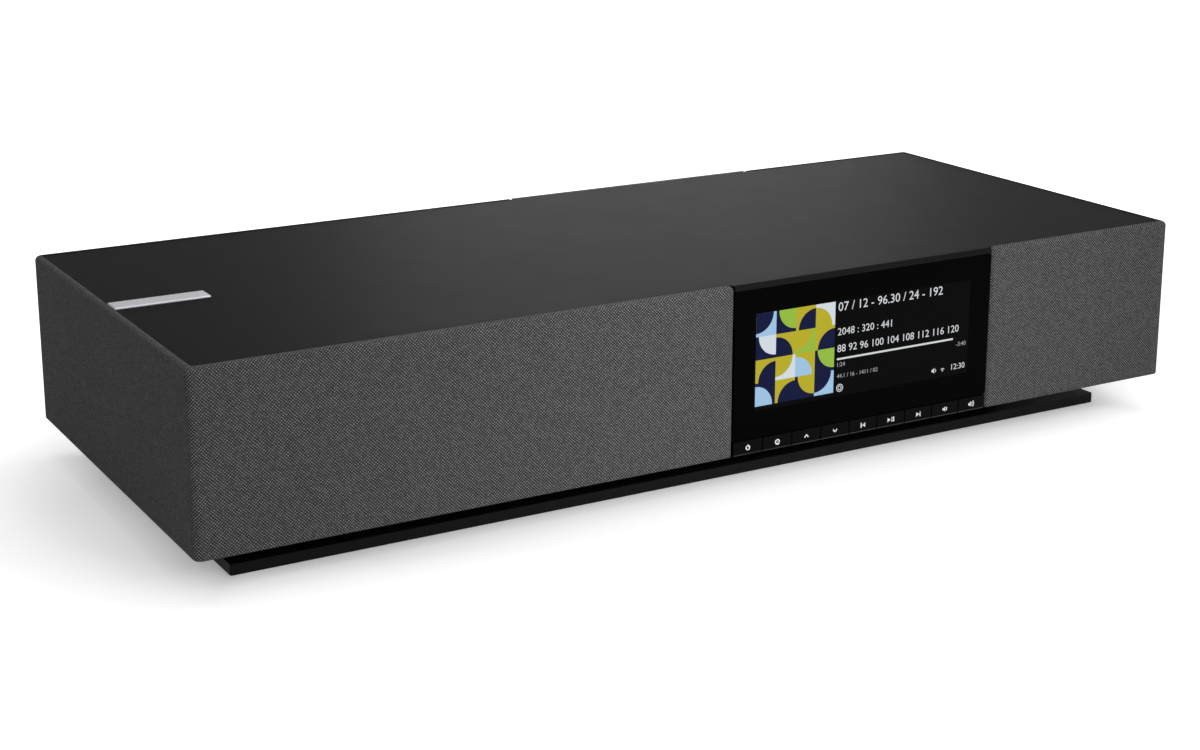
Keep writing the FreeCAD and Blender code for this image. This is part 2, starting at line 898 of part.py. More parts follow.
def make_drivers():
    for kind in ("woofer", "midrange"):
        pieces = {"basket": [], "magnet": [], "surround": []}
        makers = {"basket": make_basket, "magnet": make_magnet, "surround": make_surround}
        for _, x, z, place in [item for item in driver_places() if item[0] == kind]:
            for part, maker in makers.items():
                piece = maker(kind, place)
                set_in_baffle(piece, x, z)
                pieces[part].append(piece)
            set_in_baffle(make_cone(kind, place), x, z)
        for part, members in pieces.items():
            keep_group(f"{kind}_{part}s", members)
    pairs = [make_tweeter(place, x, z) for kind, x, z, place in driver_places() if kind == "tweeter"]
    keep_group("tweeter_faceplates", [plate for plate, _ in pairs])
    keep_group("tweeter_magnets", [magnet for _, magnet in pairs])


def drill(body, plane, offset, places, depth, reverse):
    """Screw holes with a counterbore for the head, from the face at the offset inwards."""
    for radius, length in (
        (size.screw_head_radius + size.seat_gap, size.screw_head_height),
        (size.screw_radius + size.screw_clearance, depth),
    ):
        holes = new_sketch(body, plane, offset)
        for x, y in places:
            draw_circle(holes, x, y, radius)
        pocket(body, holes, length, reverse=reverse)


def make_base():
    """Base plate with seats for the feet, the riser frame and the four feet."""
    half_plate = size.plate_width / 2
    plate_front = front + size.plate_inset
    plate_bottom = size.foot_height
    plate_top = plate_bottom + size.plate_thickness
    plate = new_body("base_plate")
    plan = new_sketch(plate, "XY_Plane", plate_bottom)
    draw_rectangle(plan, -half_plate, plate_front, half_plate, -plate_front, size.plate_round)
    pad(plate, plan, size.plate_thickness)
    seats = new_sketch(plate, "XY_Plane", plate_bottom)
    foot_x = half_plate - size.foot_inset
    foot_y = -plate_front - size.foot_inset
    feet = []
    for x, y, name in (
        (-foot_x, -foot_y, "front_left"),
        (foot_x, -foot_y, "front_right"),
        (-foot_x, foot_y, "rear_left"),
        (foot_x, foot_y, "rear_right"),
    ):
        draw_circle(seats, x, y, size.foot_radius + size.seat_gap)
        foot = doc.addObject("Part::Cylinder", f"foot_{name}")
        bind(foot, "Radius", size.foot_radius)
        bind(foot, "Height", size.foot_height + size.foot_seat)
        stand_at(foot, x, y, 0)
        feet.append(foot)
    pocket(plate, seats, size.foot_seat, reverse=True)
    drill(plate, "XY_Plane", plate_bottom, base_screw_places(), plate_top - plate_bottom, reverse=True)
    keep(plate)
    keep_group("rubber_feet", feet)

    riser = new_body("plinth_riser")
    ring = new_sketch(riser, "XY_Plane", plate_top)
    out_x = half_plate - size.riser_inset
    out_y = -plate_front - size.riser_inset
    in_x = out_x - size.riser_wall
    in_y = out_y - size.riser_wall
    draw_rectangle(ring, -out_x, -out_y, out_x, out_y, size.riser_round)
    draw_rectangle(ring, -in_x, -in_y, in_x, in_y, size.riser_round - size.riser_wall)
    pad(riser, ring, cabinet_bottom - plate_top)
    bosses = new_sketch(riser, "XY_Plane", plate_top)
    for x, y in base_screw_places():
        draw_circle(bosses, x, y, size.riser_boss)
    pad(riser, bosses, cabinet_bottom - plate_top)
    shank = size.screw_radius + size.screw_clearance
    bores = new_sketch(riser, "XY_Plane", cabinet_bottom)
    for x, y in base_screw_places():
        draw_circle(bores, x, y, shank)
    pocket(riser, bores, cabinet_bottom - plate_top)
    keep(riser)


def make_display():
    """Front pane, screen module and the carrier that holds them and guides the buttons."""
    pane = new_body("display_glass")
    face = new_sketch(pane, "XZ_Plane", -glass_back)
    draw_rectangle(face, fascia_left, glass_bottom, fascia_right, glass_top, size.glass_round)
    pad(pane, face, size.glass_thickness)
    keep(pane)

    gap = size.seat_gap
    screen_bottom = (glass_bottom + glass_top - size.screen_height) / 2 + size.screen_raise
    screen_left = fascia_centre - size.screen_width / 2
    screen_right = screen_left + size.screen_width
    screen_back = glass_back + size.screen_thickness
    screen_top = screen_bottom + size.screen_height
    near_corner = (screen_left, glass_back, screen_bottom)
    keep(block("display_screen", *near_corner, screen_right, screen_back, screen_top))

    carrier = new_body("display_carrier")
    frame = new_sketch(carrier, "XZ_Plane", -baffle_front)
    draw_rectangle(frame, fascia_left, cabinet_bottom, fascia_right, glass_top)
    pad(carrier, frame, baffle_front - glass_back)
    screen_room = new_sketch(carrier, "XZ_Plane", -glass_back)
    room_bottom = screen_bottom - gap
    draw_rectangle(screen_room, screen_left - gap, room_bottom, screen_right + gap, screen_top + gap)
    pocket(carrier, screen_room, size.screen_thickness)
    lightening = new_sketch(carrier, "XZ_Plane", -baffle_front)
    inset = size.bay_ledge + size.carrier_wall
    draw_rectangle(lightening, fascia_left + inset, screen_bottom, fascia_right - inset, screen_top)
    pocket(carrier, lightening, baffle_front - screen_back - size.carrier_wall, reverse=True)
    key_room = new_sketch(carrier, "XZ_Plane", -glass_back)
    draw_rectangle(key_room, fascia_left, cabinet_bottom, fascia_right, glass_bottom)
    pocket(carrier, key_room, front + size.web_setback - glass_back)

    board_front = baffle_front - size.board_thickness
    web_back = front + size.web_setback + size.carrier_wall
    room_low = cabinet_bottom + size.key_room_floor
    room_high = glass_bottom + size.board_thickness
    board_room = new_sketch(carrier, "XZ_Plane", -baffle_front)
    room_left = fascia_left + size.key_room_inset
    room_right = fascia_right - size.key_room_inset
    draw_rectangle(board_room, room_left, room_low, room_right, room_high + gap)
    pocket(carrier, board_room, size.board_thickness, reverse=True)
    switch_room = new_sketch(carrier, "XZ_Plane", -board_front)
    draw_rectangle(switch_room, room_left + gap, room_low + gap, room_right - gap, room_high - gap)
    pocket(carrier, switch_room, board_front - web_back, reverse=True)

    slots = new_sketch(carrier, "XZ_Plane", -(front + size.web_setback))
    across = size.stem_width / 2 + size.stem_clearance
    along = size.stem_height / 2 + size.stem_clearance
    middle = cabinet_bottom + size.button_height / 2
    for index in range(len(BUTTON_NAMES)):
        x = button_centre(index)
        draw_rectangle(slots, x - across, middle - along, x + across, middle + along)
    pocket(carrier, slots, size.carrier_wall)
    keep(carrier)

    edge = gap * 2
    near_corner = (room_left + edge, board_front, room_low + edge)
    keep(block("button_board", *near_corner, room_right - edge, baffle_front, room_high))


def button_centre(index):
    return fascia_left + button_pitch * (index + 0.5)


def make_buttons():
    """Nine keys in a row: a flat cap, a guided stem and a hook behind the web."""
    half_gap = size.button_gap / 2
    cap_back = glass_front + size.button_thickness
    web_back = front + size.web_setback + size.carrier_wall
    hook_front = web_back + size.hook_clearance
    hook_back = hook_front + size.hook_thickness
    middle = cabinet_bottom + size.button_height / 2
    for index, name in enumerate(BUTTON_NAMES):
        body = new_body(name)
        x = button_centre(index)
        cap = new_sketch(body, "XZ_Plane", -cap_back)
        left = x - button_pitch / 2 + half_gap
        right = x + button_pitch / 2 - half_gap
        draw_rectangle(cap, left, cabinet_bottom, right, cabinet_bottom + size.button_height)
        plate = pad(body, cap, size.button_thickness)

        def is_lower_front_edge(edge):
            middle_point = edge.CenterOfMass
            at_front = is_near(middle_point.y, glass_front)
            return at_front and is_near(middle_point.z, cabinet_bottom) and runs_along(edge, Vector(1, 0, 0))

        dress_edges(body, "Chamfer", plate, size.button_bevel, is_lower_front_edge)
        stem = new_sketch(body, "XZ_Plane", -hook_back)
        across = size.stem_width / 2
        along = size.stem_height / 2
        draw_rectangle(stem, x - across, middle - along, x + across, middle + along)
        pad(body, stem, hook_back - cap_back)
        hook = new_sketch(body, "XZ_Plane", -hook_back)
        reach = across + size.stem_clearance + size.hook_reach
        draw_rectangle(hook, x - reach, middle - along, x + reach, middle + along)
        pad(body, hook, size.hook_thickness)
        keep(body)
    board_front = baffle_front - size.board_thickness
    plunger = hook_back + size.button_travel + size.switch_clearance
    half = size.switch_size / 2
    switches = []
    for index in range(len(BUTTON_NAMES)):
        x = button_centre(index)
        box = (x - half, plunger, middle - half, x + half, board_front, middle + half)
        switches.append(block(f"switch_{index + 1}", *box))
    keep_group("key_switches", switches)


def main_board_edges():
    """Left, near, right and far edges of the main board."""
    left = bay_left + size.board_edge
    far = inner_rear - size.seat_gap
    return left, far - size.main_board_depth, left + size.main_board_width, far


def power_board_edges():
    left = bay_left + size.board_edge
    near = baffle_rear + size.board_edge
    return left, near, bay_right - size.board_edge, near + size.power_board_depth


def make_boards():
    """Main board with its chips, power supply board with its parts, wireless module."""
    left, near, right, far = main_board_edges()
    board = new_body("main_board")
    plan = new_sketch(board, "XY_Plane", board_bottom)
    draw_rectangle(plan, left, near, right, far)
    pad(board, plan, size.board_thickness)
    chips = new_sketch(board, "XY_Plane", board_top)
    inset = size.board_edge * 2
    chip = size.chip_size
    draw_rectangle(chips, left + inset, near + inset, left + inset + chip, near + inset + chip)
    draw_rectangle(chips, right - inset - chip, near + inset, right - inset, near + inset + chip / 2)
    pad(board, chips, size.chip_height)
    keep(board)

    module_left = left + inset + chip + size.board_edge
    module_near = near + inset
    shield_top = board_top + size.shield_height
    module = (module_left, module_near, board_top, module_left + size.wireless_width)
    keep(block("wireless_module", *module, module_near + size.wireless_depth, shield_top))

    left, near, right, far = power_board_edges()
    supply = new_body("power_supply_board")
    plan = new_sketch(supply, "XY_Plane", board_bottom)
    draw_rectangle(plan, left, near, right, far)
    pad(supply, plan, size.board_thickness)
    transformer = new_sketch(supply, "XY_Plane", board_top)
    middle = (near + far) / 2
    start = (left + right) / 2
    half = size.transformer_depth / 2
    draw_rectangle(transformer, start, middle - half, start + size.transformer_width, middle + half)
    pad(supply, transformer, size.transformer_height)
    cans = new_sketch(supply, "XY_Plane", board_top)
    spacing = size.capacitor_radius * 2 + size.board_edge
    for index in range(CAPACITORS):
        x = left + size.capacitor_radius + size.board_edge * 3 + spacing * index
        draw_circle(cans, x, middle, size.capacitor_radius)
    pad(supply, cans, size.capacitor_height)
    keep(supply)


def make_rear_panel():
    """Rear panel with cut-outs for the sockets and a window for the heat sink's fins."""
    panel = new_body("rear_panel")
    face = new_sketch(panel, "XZ_Plane", -rear_face)
    draw_rectangle(face, fascia_left, cabinet_bottom, fascia_right, top_surface)
    pad(panel, face, rear_face - shell_rear)
    cuts = new_sketch(panel, "XZ_Plane", -rear_face)
    clear = size.socket_clearance
    for kind in SOCKETS:
        left, low, right, high = socket_edges(kind)
        draw_rectangle(cuts, left - clear, low - clear, right + clear, high + clear)
    sink_left = fascia_left + size.sink_inset
    sink_right = fascia_right - size.sink_inset
    sink_width = sink_right - sink_left
    sink_high = shell_top - size.bay_ledge - size.sink_flange - size.sink_drop
    sink_low = sink_high - size.sink_height
    draw_rectangle(cuts, sink_left, sink_low, sink_right, sink_high)
    pocket(panel, cuts, rear_face - shell_rear, reverse=True)
    drill(panel, "XZ_Plane", -rear_face, rear_screw_places(), rear_face - shell_rear, reverse=True)
    keep(panel)

    sink = new_body("heat_sink")
    base_front = shell_rear - size.sink_base
    flange = size.sink_flange
    base = new_sketch(sink, "XZ_Plane", -shell_rear)
    draw_rectangle(base, sink_left - flange, sink_low - flange, sink_right + flange, sink_high + flange)
    pad(sink, base, size.sink_base)
    fin = new_sketch(sink, "XZ_Plane", -rear_face)
    first = sink_left + size.fin_pitch - size.fin_thickness
    gap = size.seat_gap
    draw_rectangle(fin, first, sink_low + gap, first + size.fin_thickness, sink_high - gap)
    fin_pad = pad(sink, fin, rear_face - shell_rear)
    fins = sink.newObject("PartDesign::LinearPattern", "heat_sink_fins")
    fins.Originals = [fin_pad]
    fins.Direction = (next(item for item in sink.Origin.OriginFeatures if item.Role == "X_Axis"), [""])
    fin_count = int(sink_width.number / size.fin_pitch.number) - 1
    fins.Occurrences = fin_count
    bind(fins, "Length", size.fin_pitch * (fin_count - 1))
    sink.Tip = fins
    keep(sink)

    amplifier = new_body("amplifier_board")
    chips_back = base_front
    board_back = chips_back - size.amplifier_chip_height
    wafer = new_sketch(amplifier, "XZ_Plane", -board_back)
    middle = sink_low + size.sink_height / 2
    half = size.amplifier_height / 2
    draw_rectangle(wafer, sink_left, middle - half, sink_right, middle + half)
    pad(amplifier, wafer, size.board_thickness)
    chips = new_sketch(amplifier, "XZ_Plane", -chips_back)
    chip = size.amplifier_chip / 2
    for index in range(AMPLIFIER_CHIPS):
        x = sink_left + sink_width * (index + 0.5) / AMPLIFIER_CHIPS
        draw_rectangle(chips, x - chip, middle - chip, x + chip, middle + chip)
    pad(amplifier, chips, size.amplifier_chip_height)
    keep(amplifier)


def socket_edges(kind):
    """Left, low, right and high edges of a socket's body, as it stands on the board."""
    if kind == "mains":
        middle = bay_right - size.mains_inset
    else:
        middle = bay_left + getattr(size, f"{kind}_place")
    half = getattr(size, f"{kind}_width") / 2
    return middle - half, board_top, middle + half, board_top + getattr(size, f"{kind}_height")


def make_sockets():
    for kind in SOCKETS:
        name = {"line": "line_input_jack", "mains": "mains_inlet"}.get(kind, f"{kind}_socket")
        body = new_body(name)
        left, low, right, high = socket_edges(kind)
        middle_x = (left + right) / 2
        middle_z = (low + high) / 2
        depth = getattr(size, f"{kind}_depth")
        case = new_sketch(body, "XZ_Plane", -rear_face)
        draw_rectangle(case, left, low, right, high)
        pad(body, case, depth)
        if kind == "mains":
            flange = new_sketch(body, "XZ_Plane", -shell_rear)
            reach = size.mains_flange
            draw_rectangle(flange, left - reach, low - reach, right + reach, high + reach)
            pad(body, flange, size.board_thickness)
        mouth = new_sketch(body, "XZ_Plane", -rear_face)
        if kind == "line":
            draw_circle(mouth, middle_x, middle_z, size.line_bore)
            pocket(body, mouth, size.line_bore_depth, reverse=True)
            keep(body)
            continue
        half_width_mouth = getattr(size, f"{kind}_mouth_width") / 2
        half_height_mouth = getattr(size, f"{kind}_mouth_height") / 2
        edges = (middle_x - half_width_mouth, middle_z - half_height_mouth)
        draw_rectangle(mouth, *edges, middle_x + half_width_mouth, middle_z + half_height_mouth)
        mouth_depth = getattr(size, f"{kind}_mouth_depth")
        pocket(body, mouth, mouth_depth, reverse=True)
        floor = rear_face - mouth_depth
        if kind in ("usb", "hdmi"):
            tongue = new_sketch(body, "XZ_Plane", -floor)
            reach = half_width_mouth - size.tongue_inset
            half = size.board_thickness / 2
            draw_rectangle(tongue, middle_x - reach, middle_z - half, middle_x + reach, middle_z + half)
            pad(body, tongue, mouth_depth - size.tongue_setback, reverse=True)
        if kind == "mains":
            pins = new_sketch(body, "XZ_Plane", -floor)
            for side in (-1, 1):
                x = middle_x + size.mains_pin_spacing * side / 2
                draw_circle(pins, x, middle_z, size.mains_pin_radius)
            pad(body, pins, size.mains_pin_length, reverse=True)
        keep(body)


def rear_screw_places():
    """x and z of the rear panel's screws, on the ledge that it seats on."""
    inset = size.rear_screw_inset
    places = []
    for x in (bay_left + inset, bay_right - inset):
        for z in (floor_top + size.rear_screw_margin, shell_top - size.rear_screw_margin):
            places.append((x, z))
    return places


def base_screw_places():
    """x and y of the base plate's screws, at the riser's four bosses."""
    out_x = size.plate_width / 2 - size.riser_inset - size.riser_boss
    out_y = half_depth - size.plate_inset - size.riser_inset - size.riser_boss
    return [(x, y) for x in (-out_x, out_x) for y in (-out_y, out_y)]


def make_screws():
    """Four screws hold the rear panel, and four hold the base plate and riser to the cabinet."""
    head = size.screw_head_height
    profile = [
        (0, 0),
        (size.screw_head_radius, 0),
        (size.screw_head_radius, head),
        (size.screw_radius, head),
    ]
    rear = []
    for index, (x, z) in enumerate(rear_screw_places()):
        screw = new_body(f"rear_screw_{index + 1}")
        length = head + size.rear_screw_length
        revolve(screw, [*profile, (size.screw_radius, length), (0, length)])
        stand_at(screw, x, rear_face, z, Rotation(Vector(1, 0, 0), 90))
        rear.append(screw)
    keep_group("rear_panel_screws", rear)
    base = []
    for index, (x, y) in enumerate(base_screw_places()):
        screw = new_body(f"base_screw_{index + 1}")
        length = floor_top - size.foot_height
        revolve(screw, [*profile, (size.screw_radius, length), (0, length)])
        stand_at(screw, x, y, size.foot_height)
        base.append(screw)
    keep_group("base_screws", base)


def check_and_export():
    doc.recompute()
    for item in doc.Objects:
        if "Invalid" in item.State or "Error" in item.State:
            raise RuntimeError(f"{item.Label} failed: {item.State}")
    os.makedirs("parts", exist_ok=True)
    for item in nodes:
        shape = item.Shape
        if shape.isNull() or not shape.isValid() or not shape.Solids:
            raise RuntimeError(f"{item.Label} has no valid solid")
        shape.exportStep(f"parts/{item.Label}.step")
        box = shape.BoundBox
        corners = [round(value, 2) for value in (box.XMin, box.XMax, box.YMin, box.YMax, box.ZMin, box.ZMax)]
        print(item.Label, len(shape.Solids), "solid(s)", round(shape.Volume), "mm3, box", corners)


make_base()
make_cabinet_shell()
make_top_panel()
make_badge_plate()
for side, side_name in ((-1, "left"), (1, "right")):
    make_grille_frame(f"{side_name}_grille_frame", side)
    make_cloth(f"{side_name}_grille_cloth", side)
make_display()
make_buttons()
make_boards()
make_rear_panel()
make_sockets()
make_drivers()
make_screws()
check_and_export()
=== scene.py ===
"""Looks of the all-in-one wireless speaker, in metres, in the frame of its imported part."""

import math

import bmesh
import bpy
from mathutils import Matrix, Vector


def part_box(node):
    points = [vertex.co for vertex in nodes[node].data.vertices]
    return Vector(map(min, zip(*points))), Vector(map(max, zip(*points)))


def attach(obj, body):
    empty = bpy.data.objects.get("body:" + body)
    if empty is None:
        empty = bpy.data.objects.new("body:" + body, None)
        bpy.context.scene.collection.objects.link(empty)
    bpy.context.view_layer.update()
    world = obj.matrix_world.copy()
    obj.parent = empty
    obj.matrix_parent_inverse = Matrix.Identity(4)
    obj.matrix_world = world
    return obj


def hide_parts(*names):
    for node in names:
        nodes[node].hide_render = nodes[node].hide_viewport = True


MM = 0.001

# The cloth wraps, in millimetres: the cabinet's faces and the ends beside the display.
HALF_WIDTH = 340.5
HALF_DEPTH = 142.0
CLOTH_BOTTOM = 25.0
CLOTH_TOP = 131.0
CLOTH_SKIN = 0.7
CLOTH_FOLD = 4.0
UPPER_ROUND = 3.2
LOWER_ROUND = 1.2
CORNER_ROUND = 4.6
END_ROUND = 2.2
LEFT_CLOTH_END = -5.6
RIGHT_CLOTH_END = 189.5
RUN_STEP = 6.0
WALL_STEPS = 14
ARC_STEPS = 8

# The weave, in millimetres: width of a thread, size of its fibres, relief, and the size of the patches
# in which its lines wander. The sway is a share of the thread's width.
WEAVE_PITCH = 0.95
FIBRE_SIZE = 0.22
WEAVE_RELIEF = 0.15
SWAY_SIZE = 4.0
WEAVE_SWAY = 0.25

# Tones of the yarn from 0 to 1: warp, weft, and how far stitches and fibres differ.
WARP_TONE = 0.76
WEFT_TONE = 0.22
STITCH_SCATTER = 0.24
FIBRE_SCATTER = 0.3

# Vertices that lie closer than this are one, in millimetres: of a modelled piece and of a CAD solid.
WELD_REACH = 0.0005
SOLID_WELD = 0.001

# Small rounds on hard edges: the width on a key, in millimetres, the faces of a round, and the
# least angle of a hard edge, in degrees.
KEY_BEVEL = 0.12
BEVEL_FACES = 3
HARD_ANGLE = 40

# The base plate's outline on the floor, in millimetres.
PLATE_HALF_WIDTH = 311.0
PLATE_HALF_DEPTH = 111.0

# The round stage, in metres: a floor with a low backdrop at its rim.
STAGE_REACH = 12.0
STAGE_SIDES = 48
BACKDROP_HEIGHT = 2.4

# The floor's glow: it rises from its low value to 1 between two distances from the middle, in metres,
# which count less along the width; the lower glow near the object is a painted shadow round it. Within a
# short reach of the base plate it is lower still, a painted shadow along the plate's edge.
GLOW_START = 0.165
GLOW_FULL = 0.33
GLOW_LOW = 0.5
WIDTH_SHARE = 0.45
PAINTED_CONTACT_SHADOW = 0.2
CONTACT_REACH = 0.021

# The pane's face, the lit area on it and its picture elements, in millimetres, and its strength.
PANE_FRONT = -141.7
SCREEN_LEFT = 10.3
SCREEN_RIGHT = 172.7
SCREEN_BOTTOM = 51.5
SCREEN_TOP = 112.3
SCREEN_ROUND = 0.6
PIXEL_SIZE = 0.18
SCREEN_GLOW = 0.9

# Layers on the pane, in millimetres from its face: fronts and backs of the lit area, the marks and the
# ink of the keys' signs. The mark depth is the thickness of a digit.
LIT_RISE = 0.06
LIT_DEPTH = 0.03
MARK_RISE = 0.11
MARK_BACK = 0.04
MARK_DEPTH = 0.05
INK_RISE = 0.05
INK_DEPTH = 0.02

# The square picture on the lit area, in millimetres: its place, the tiles in a row, how far a tile's
# ground lies behind its quarter round, and the round's share of the tile's side.
PICTURE_LEFT = 10.4
PICTURE_BOTTOM = 54.3
PICTURE_SIDE = 57.7
TILES = 4
TILE_GROUND = 0.02
ROUND_SHARE = 0.86
ROUND_STEPS = 12

# The signs on the keys, in millimetres before they are scaled. The rise is from the cabinet's bottom.
# A triangle's half height is a share of its length, and a bar's round is a share of its width.
SIGN_RISE = 4.5
SIGN_SCALE = 0.94
SIGN_STROKE = 0.85
SIGN_HEIGHT = 3.4
SIGN_TRIANGLE = 2.6
TRIANGLE_SHARE = 0.62
BAR_ROUND_SHARE = 0.2

# Rings have a point every few degrees. A bend's mitre stops growing at the least cosine.
RING_STEP = 15
LEAST_RING_STEPS = 4
LEAST_MITRE_COSINE = 0.3

# The camera: its place in metres, turn and tilt in degrees, lens in millimetres, and shift.
CAMERA_PLACE = (-0.6726, -1.1405, 0.4435)
CAMERA_YAW = 29.97
CAMERA_PITCH = 14.41
CAMERA_LENS = 63.35
SENSOR_WIDTH = 36.0
CAMERA_SHIFT = -0.08

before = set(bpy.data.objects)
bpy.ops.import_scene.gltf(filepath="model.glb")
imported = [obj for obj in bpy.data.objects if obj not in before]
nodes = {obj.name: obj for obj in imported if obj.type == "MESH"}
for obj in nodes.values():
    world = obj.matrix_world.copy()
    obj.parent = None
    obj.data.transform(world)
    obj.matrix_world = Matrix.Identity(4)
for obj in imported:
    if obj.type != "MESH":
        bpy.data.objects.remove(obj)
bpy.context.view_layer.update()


class Surface:
    """A Principled material with the few node calls that the looks below share."""

    def __init__(self, name):
        self.material = bpy.data.materials.new(name)
        self.material.use_nodes = True
        self.tree = self.material.node_tree
        self.shader = self.tree.nodes["Principled BSDF"]

    def add(self, kind, **settings):
        node = self.tree.nodes.new(kind)
        for key, value in settings.items():
            setattr(node, key, value)
        return node

    def feed(self, value, socket):
        """Puts a number, a colour or another socket into a socket."""
        if isinstance(value, bpy.types.NodeSocket):
            self.tree.links.new(value, socket)
        elif socket.type == "RGBA":
            socket.default_value = rgba(value)
        else:
            socket.default_value = value

    def calc(self, operation, *values):
        node = self.add("ShaderNodeMath", operation=operation)
        for value, socket in zip(values, node.inputs):
            self.feed(value, socket)
        return node.outputs[0]

    def place(self, stretch=(1, 1, 1)):
        """Object coordinates in metres, stretched along the axes."""
        where = self.add("ShaderNodeTexCoord").outputs["Object"]
        mapping = self.add("ShaderNodeMapping")
        mapping.inputs["Scale"].default_value = stretch
        self.feed(where, mapping.inputs["Vector"])
        return mapping.outputs[0]

    def noise(self, size, detail=2.0, stretch=(1, 1, 1), vector=None):
        """Cloudy grey from 0 to 1 with features about `size` millimetres across."""
        node = self.add("ShaderNodeTexNoise")
        node.inputs["Scale"].default_value = 1 / (size * MM)
        node.inputs["Detail"].default_value = detail
        self.feed(self.place(stretch) if vector is None else vector, node.inputs["Vector"])
        return node.outputs["Fac"]

    def spread(self, value, low, high, start=0.3, end=0.7):
        """A value's range from start to end, spread from low to high."""
        node = self.add("ShaderNodeMapRange")
        for key, number in (("From Min", start), ("From Max", end), ("To Min", low), ("To Max", high)):
            self.feed(number, node.inputs[key])
        self.feed(value, node.inputs["Value"])
        return node.outputs[0]

    def ramp(self, value, *stops):
        """Colours (position, grey or (r, g, b)) along a value."""
        node = self.add("ShaderNodeValToRGB")
        set_stops(node, stops)
        self.feed(value, node.inputs[0])
        return node.outputs[0]

    def blend(self, share, first, second):
        node = self.add("ShaderNodeMix", data_type="RGBA")
        self.feed(share, node.inputs[0])
        self.feed(first, node.inputs[6])
        self.feed(second, node.inputs[7])
        return node.outputs[2]

    def bump(self, height, depth, strength=1.0):
        """Relief of `depth` millimetres from a height of 0 to 1."""
        node = self.add("ShaderNodeBump")
        node.inputs["Strength"].default_value = strength
        node.inputs["Distance"].default_value = depth * MM
        self.feed(height, node.inputs["Height"])
        self.feed(node.outputs[0], self.shader.inputs["Normal"])

    def finish(self, colour, roughness, **constants):
        """Sets the shader's colour and roughness, and constants straight on its own sockets."""
        self.feed(colour, self.shader.inputs["Base Color"])
        self.feed(roughness, self.shader.inputs["Roughness"])
        for key, value in constants.items():
            self.shader.inputs[key.replace("_", " ").title().replace("Ior", "IOR")].default_value = value
        return self.material


def rgba(colour):
    """A grey or (r, g, b) as a colour with alpha."""
    if isinstance(colour, (int, float)):
        colour = (colour,) * 3
    return (*colour, 1.0)


def set_stops(node, stops):
    """Gives a colour ramp its stops (position, grey or (r, g, b))."""
    points = node.color_ramp.elements
    while len(points) < len(stops):
        points.new(0.5)
    for point, (position, colour) in zip(points, stops):
        point.position = position
        point.color = rgba(colour)


def grained(name, dark, light, grain, relief, rough, unevenness=0.05, **constants):
    """Plain material with a fine grain in its relief and colour, and slightly uneven gloss."""
    look = Surface(name)
    fine = look.noise(grain, 3)
    colour = look.ramp(fine, (0.3, dark), (0.7, light))
    gloss = look.spread(look.noise(grain * 60, 2), rough - unevenness, rough + unevenness)
    look.bump(fine, relief)
    return look.finish(colour, gloss, **constants)


def brushed(name, dark, light, rough, along, **constants):
    """Metal with a fine brushed grain along an axis."""
    look = Surface(name)
    stretch = tuple(0.02 if axis == along else 1 for axis in "xyz")
    hairs = look.noise(0.25, 4, stretch)
    colour = look.ramp(hairs, (0.25, dark), (0.75, light))
    gloss = look.spread(hairs, rough - 0.06, rough + 0.08)
    look.bump(hairs, 0.01, 0.5)
    return look.finish(colour, gloss, **constants)


def woven(name):
    """Acoustic cloth: plain weave of pale warp and dark weft, in the sheet's own coordinates."""
    look = Surface(name)
    sheet = look.add("ShaderNodeUVMap", uv_map="cloth").outputs[0]
    axes = look.add("ShaderNodeSeparateXYZ")
    look.feed(sheet, axes.inputs[0])
    sway = look.spread(look.noise(SWAY_SIZE, 1, vector=sheet), -WEAVE_SWAY, WEAVE_SWAY, 0, 1)
    across = look.calc("ADD", look.calc("DIVIDE", axes.outputs[0], WEAVE_PITCH * MM), sway)
    upwards = look.calc("SUBTRACT", look.calc("DIVIDE", axes.outputs[1], WEAVE_PITCH * MM), sway)
    column = look.calc("FLOOR", across)
    row = look.calc("FLOOR", upwards)
    in_column = look.calc("FRACT", across)
    in_row = look.calc("FRACT", upwards)
    warp_on_top = look.calc("FLOORED_MODULO", look.calc("ADD", column, row), 2.0)

    def crown(position):
        return look.calc("SINE", look.calc("MULTIPLY", position, math.pi))

    def dice(*values):
        cell = look.add("ShaderNodeCombineXYZ")
        for value, socket in zip(values, cell.inputs):
            look.feed(value, socket)
        throw = look.add("ShaderNodeTexWhiteNoise", noise_dimensions="3D")
        look.feed(cell.outputs[0], throw.inputs["Vector"])
        return throw.outputs["Value"]

    def over_or_under(warp_value, weft_value):
        difference = look.calc("SUBTRACT", warp_value, weft_value)
        return look.calc("MULTIPLY_ADD", difference, warp_on_top, weft_value)

    warp = look.calc("MULTIPLY", look.calc("SQRT", crown(in_column)), crown(in_row))
    weft = look.calc("MULTIPLY", look.calc("SQRT", crown(in_row)), crown(in_column))
    height = over_or_under(warp, weft)
    fibres = look.noise(FIBRE_SIZE, 3, vector=sheet)
    tone = over_or_under(WARP_TONE, WEFT_TONE)
    stitch = look.calc("SUBTRACT", dice(column, row, 1.0), 0.5)
    tone = look.calc("MULTIPLY_ADD", stitch, STITCH_SCATTER, tone)
    tone = look.calc("MULTIPLY_ADD", look.calc("SUBTRACT", fibres, 0.5), FIBRE_SCATTER, tone)
    yarn = look.ramp(tone, (0.1, 0.026), (0.4, 0.075), (0.7, 0.2), (1.0, 0.385))
    # The yarn's colour darkens towards near black where the threads dip between their crowns: painted
    # shade in the hollows of the weave.
    shade = look.spread(height, 0.0, 1.0, 0.05, 0.7)
    look.bump(look.calc("MULTIPLY_ADD", fibres, 0.2, height), WEAVE_RELIEF, 0.7)
    return look.finish(
        look.blend(shade, 0.012, yarn),
        0.9,
        specular_ior_level=0.1,
        sheen_weight=0.05,
        sheen_roughness=0.5,
    )


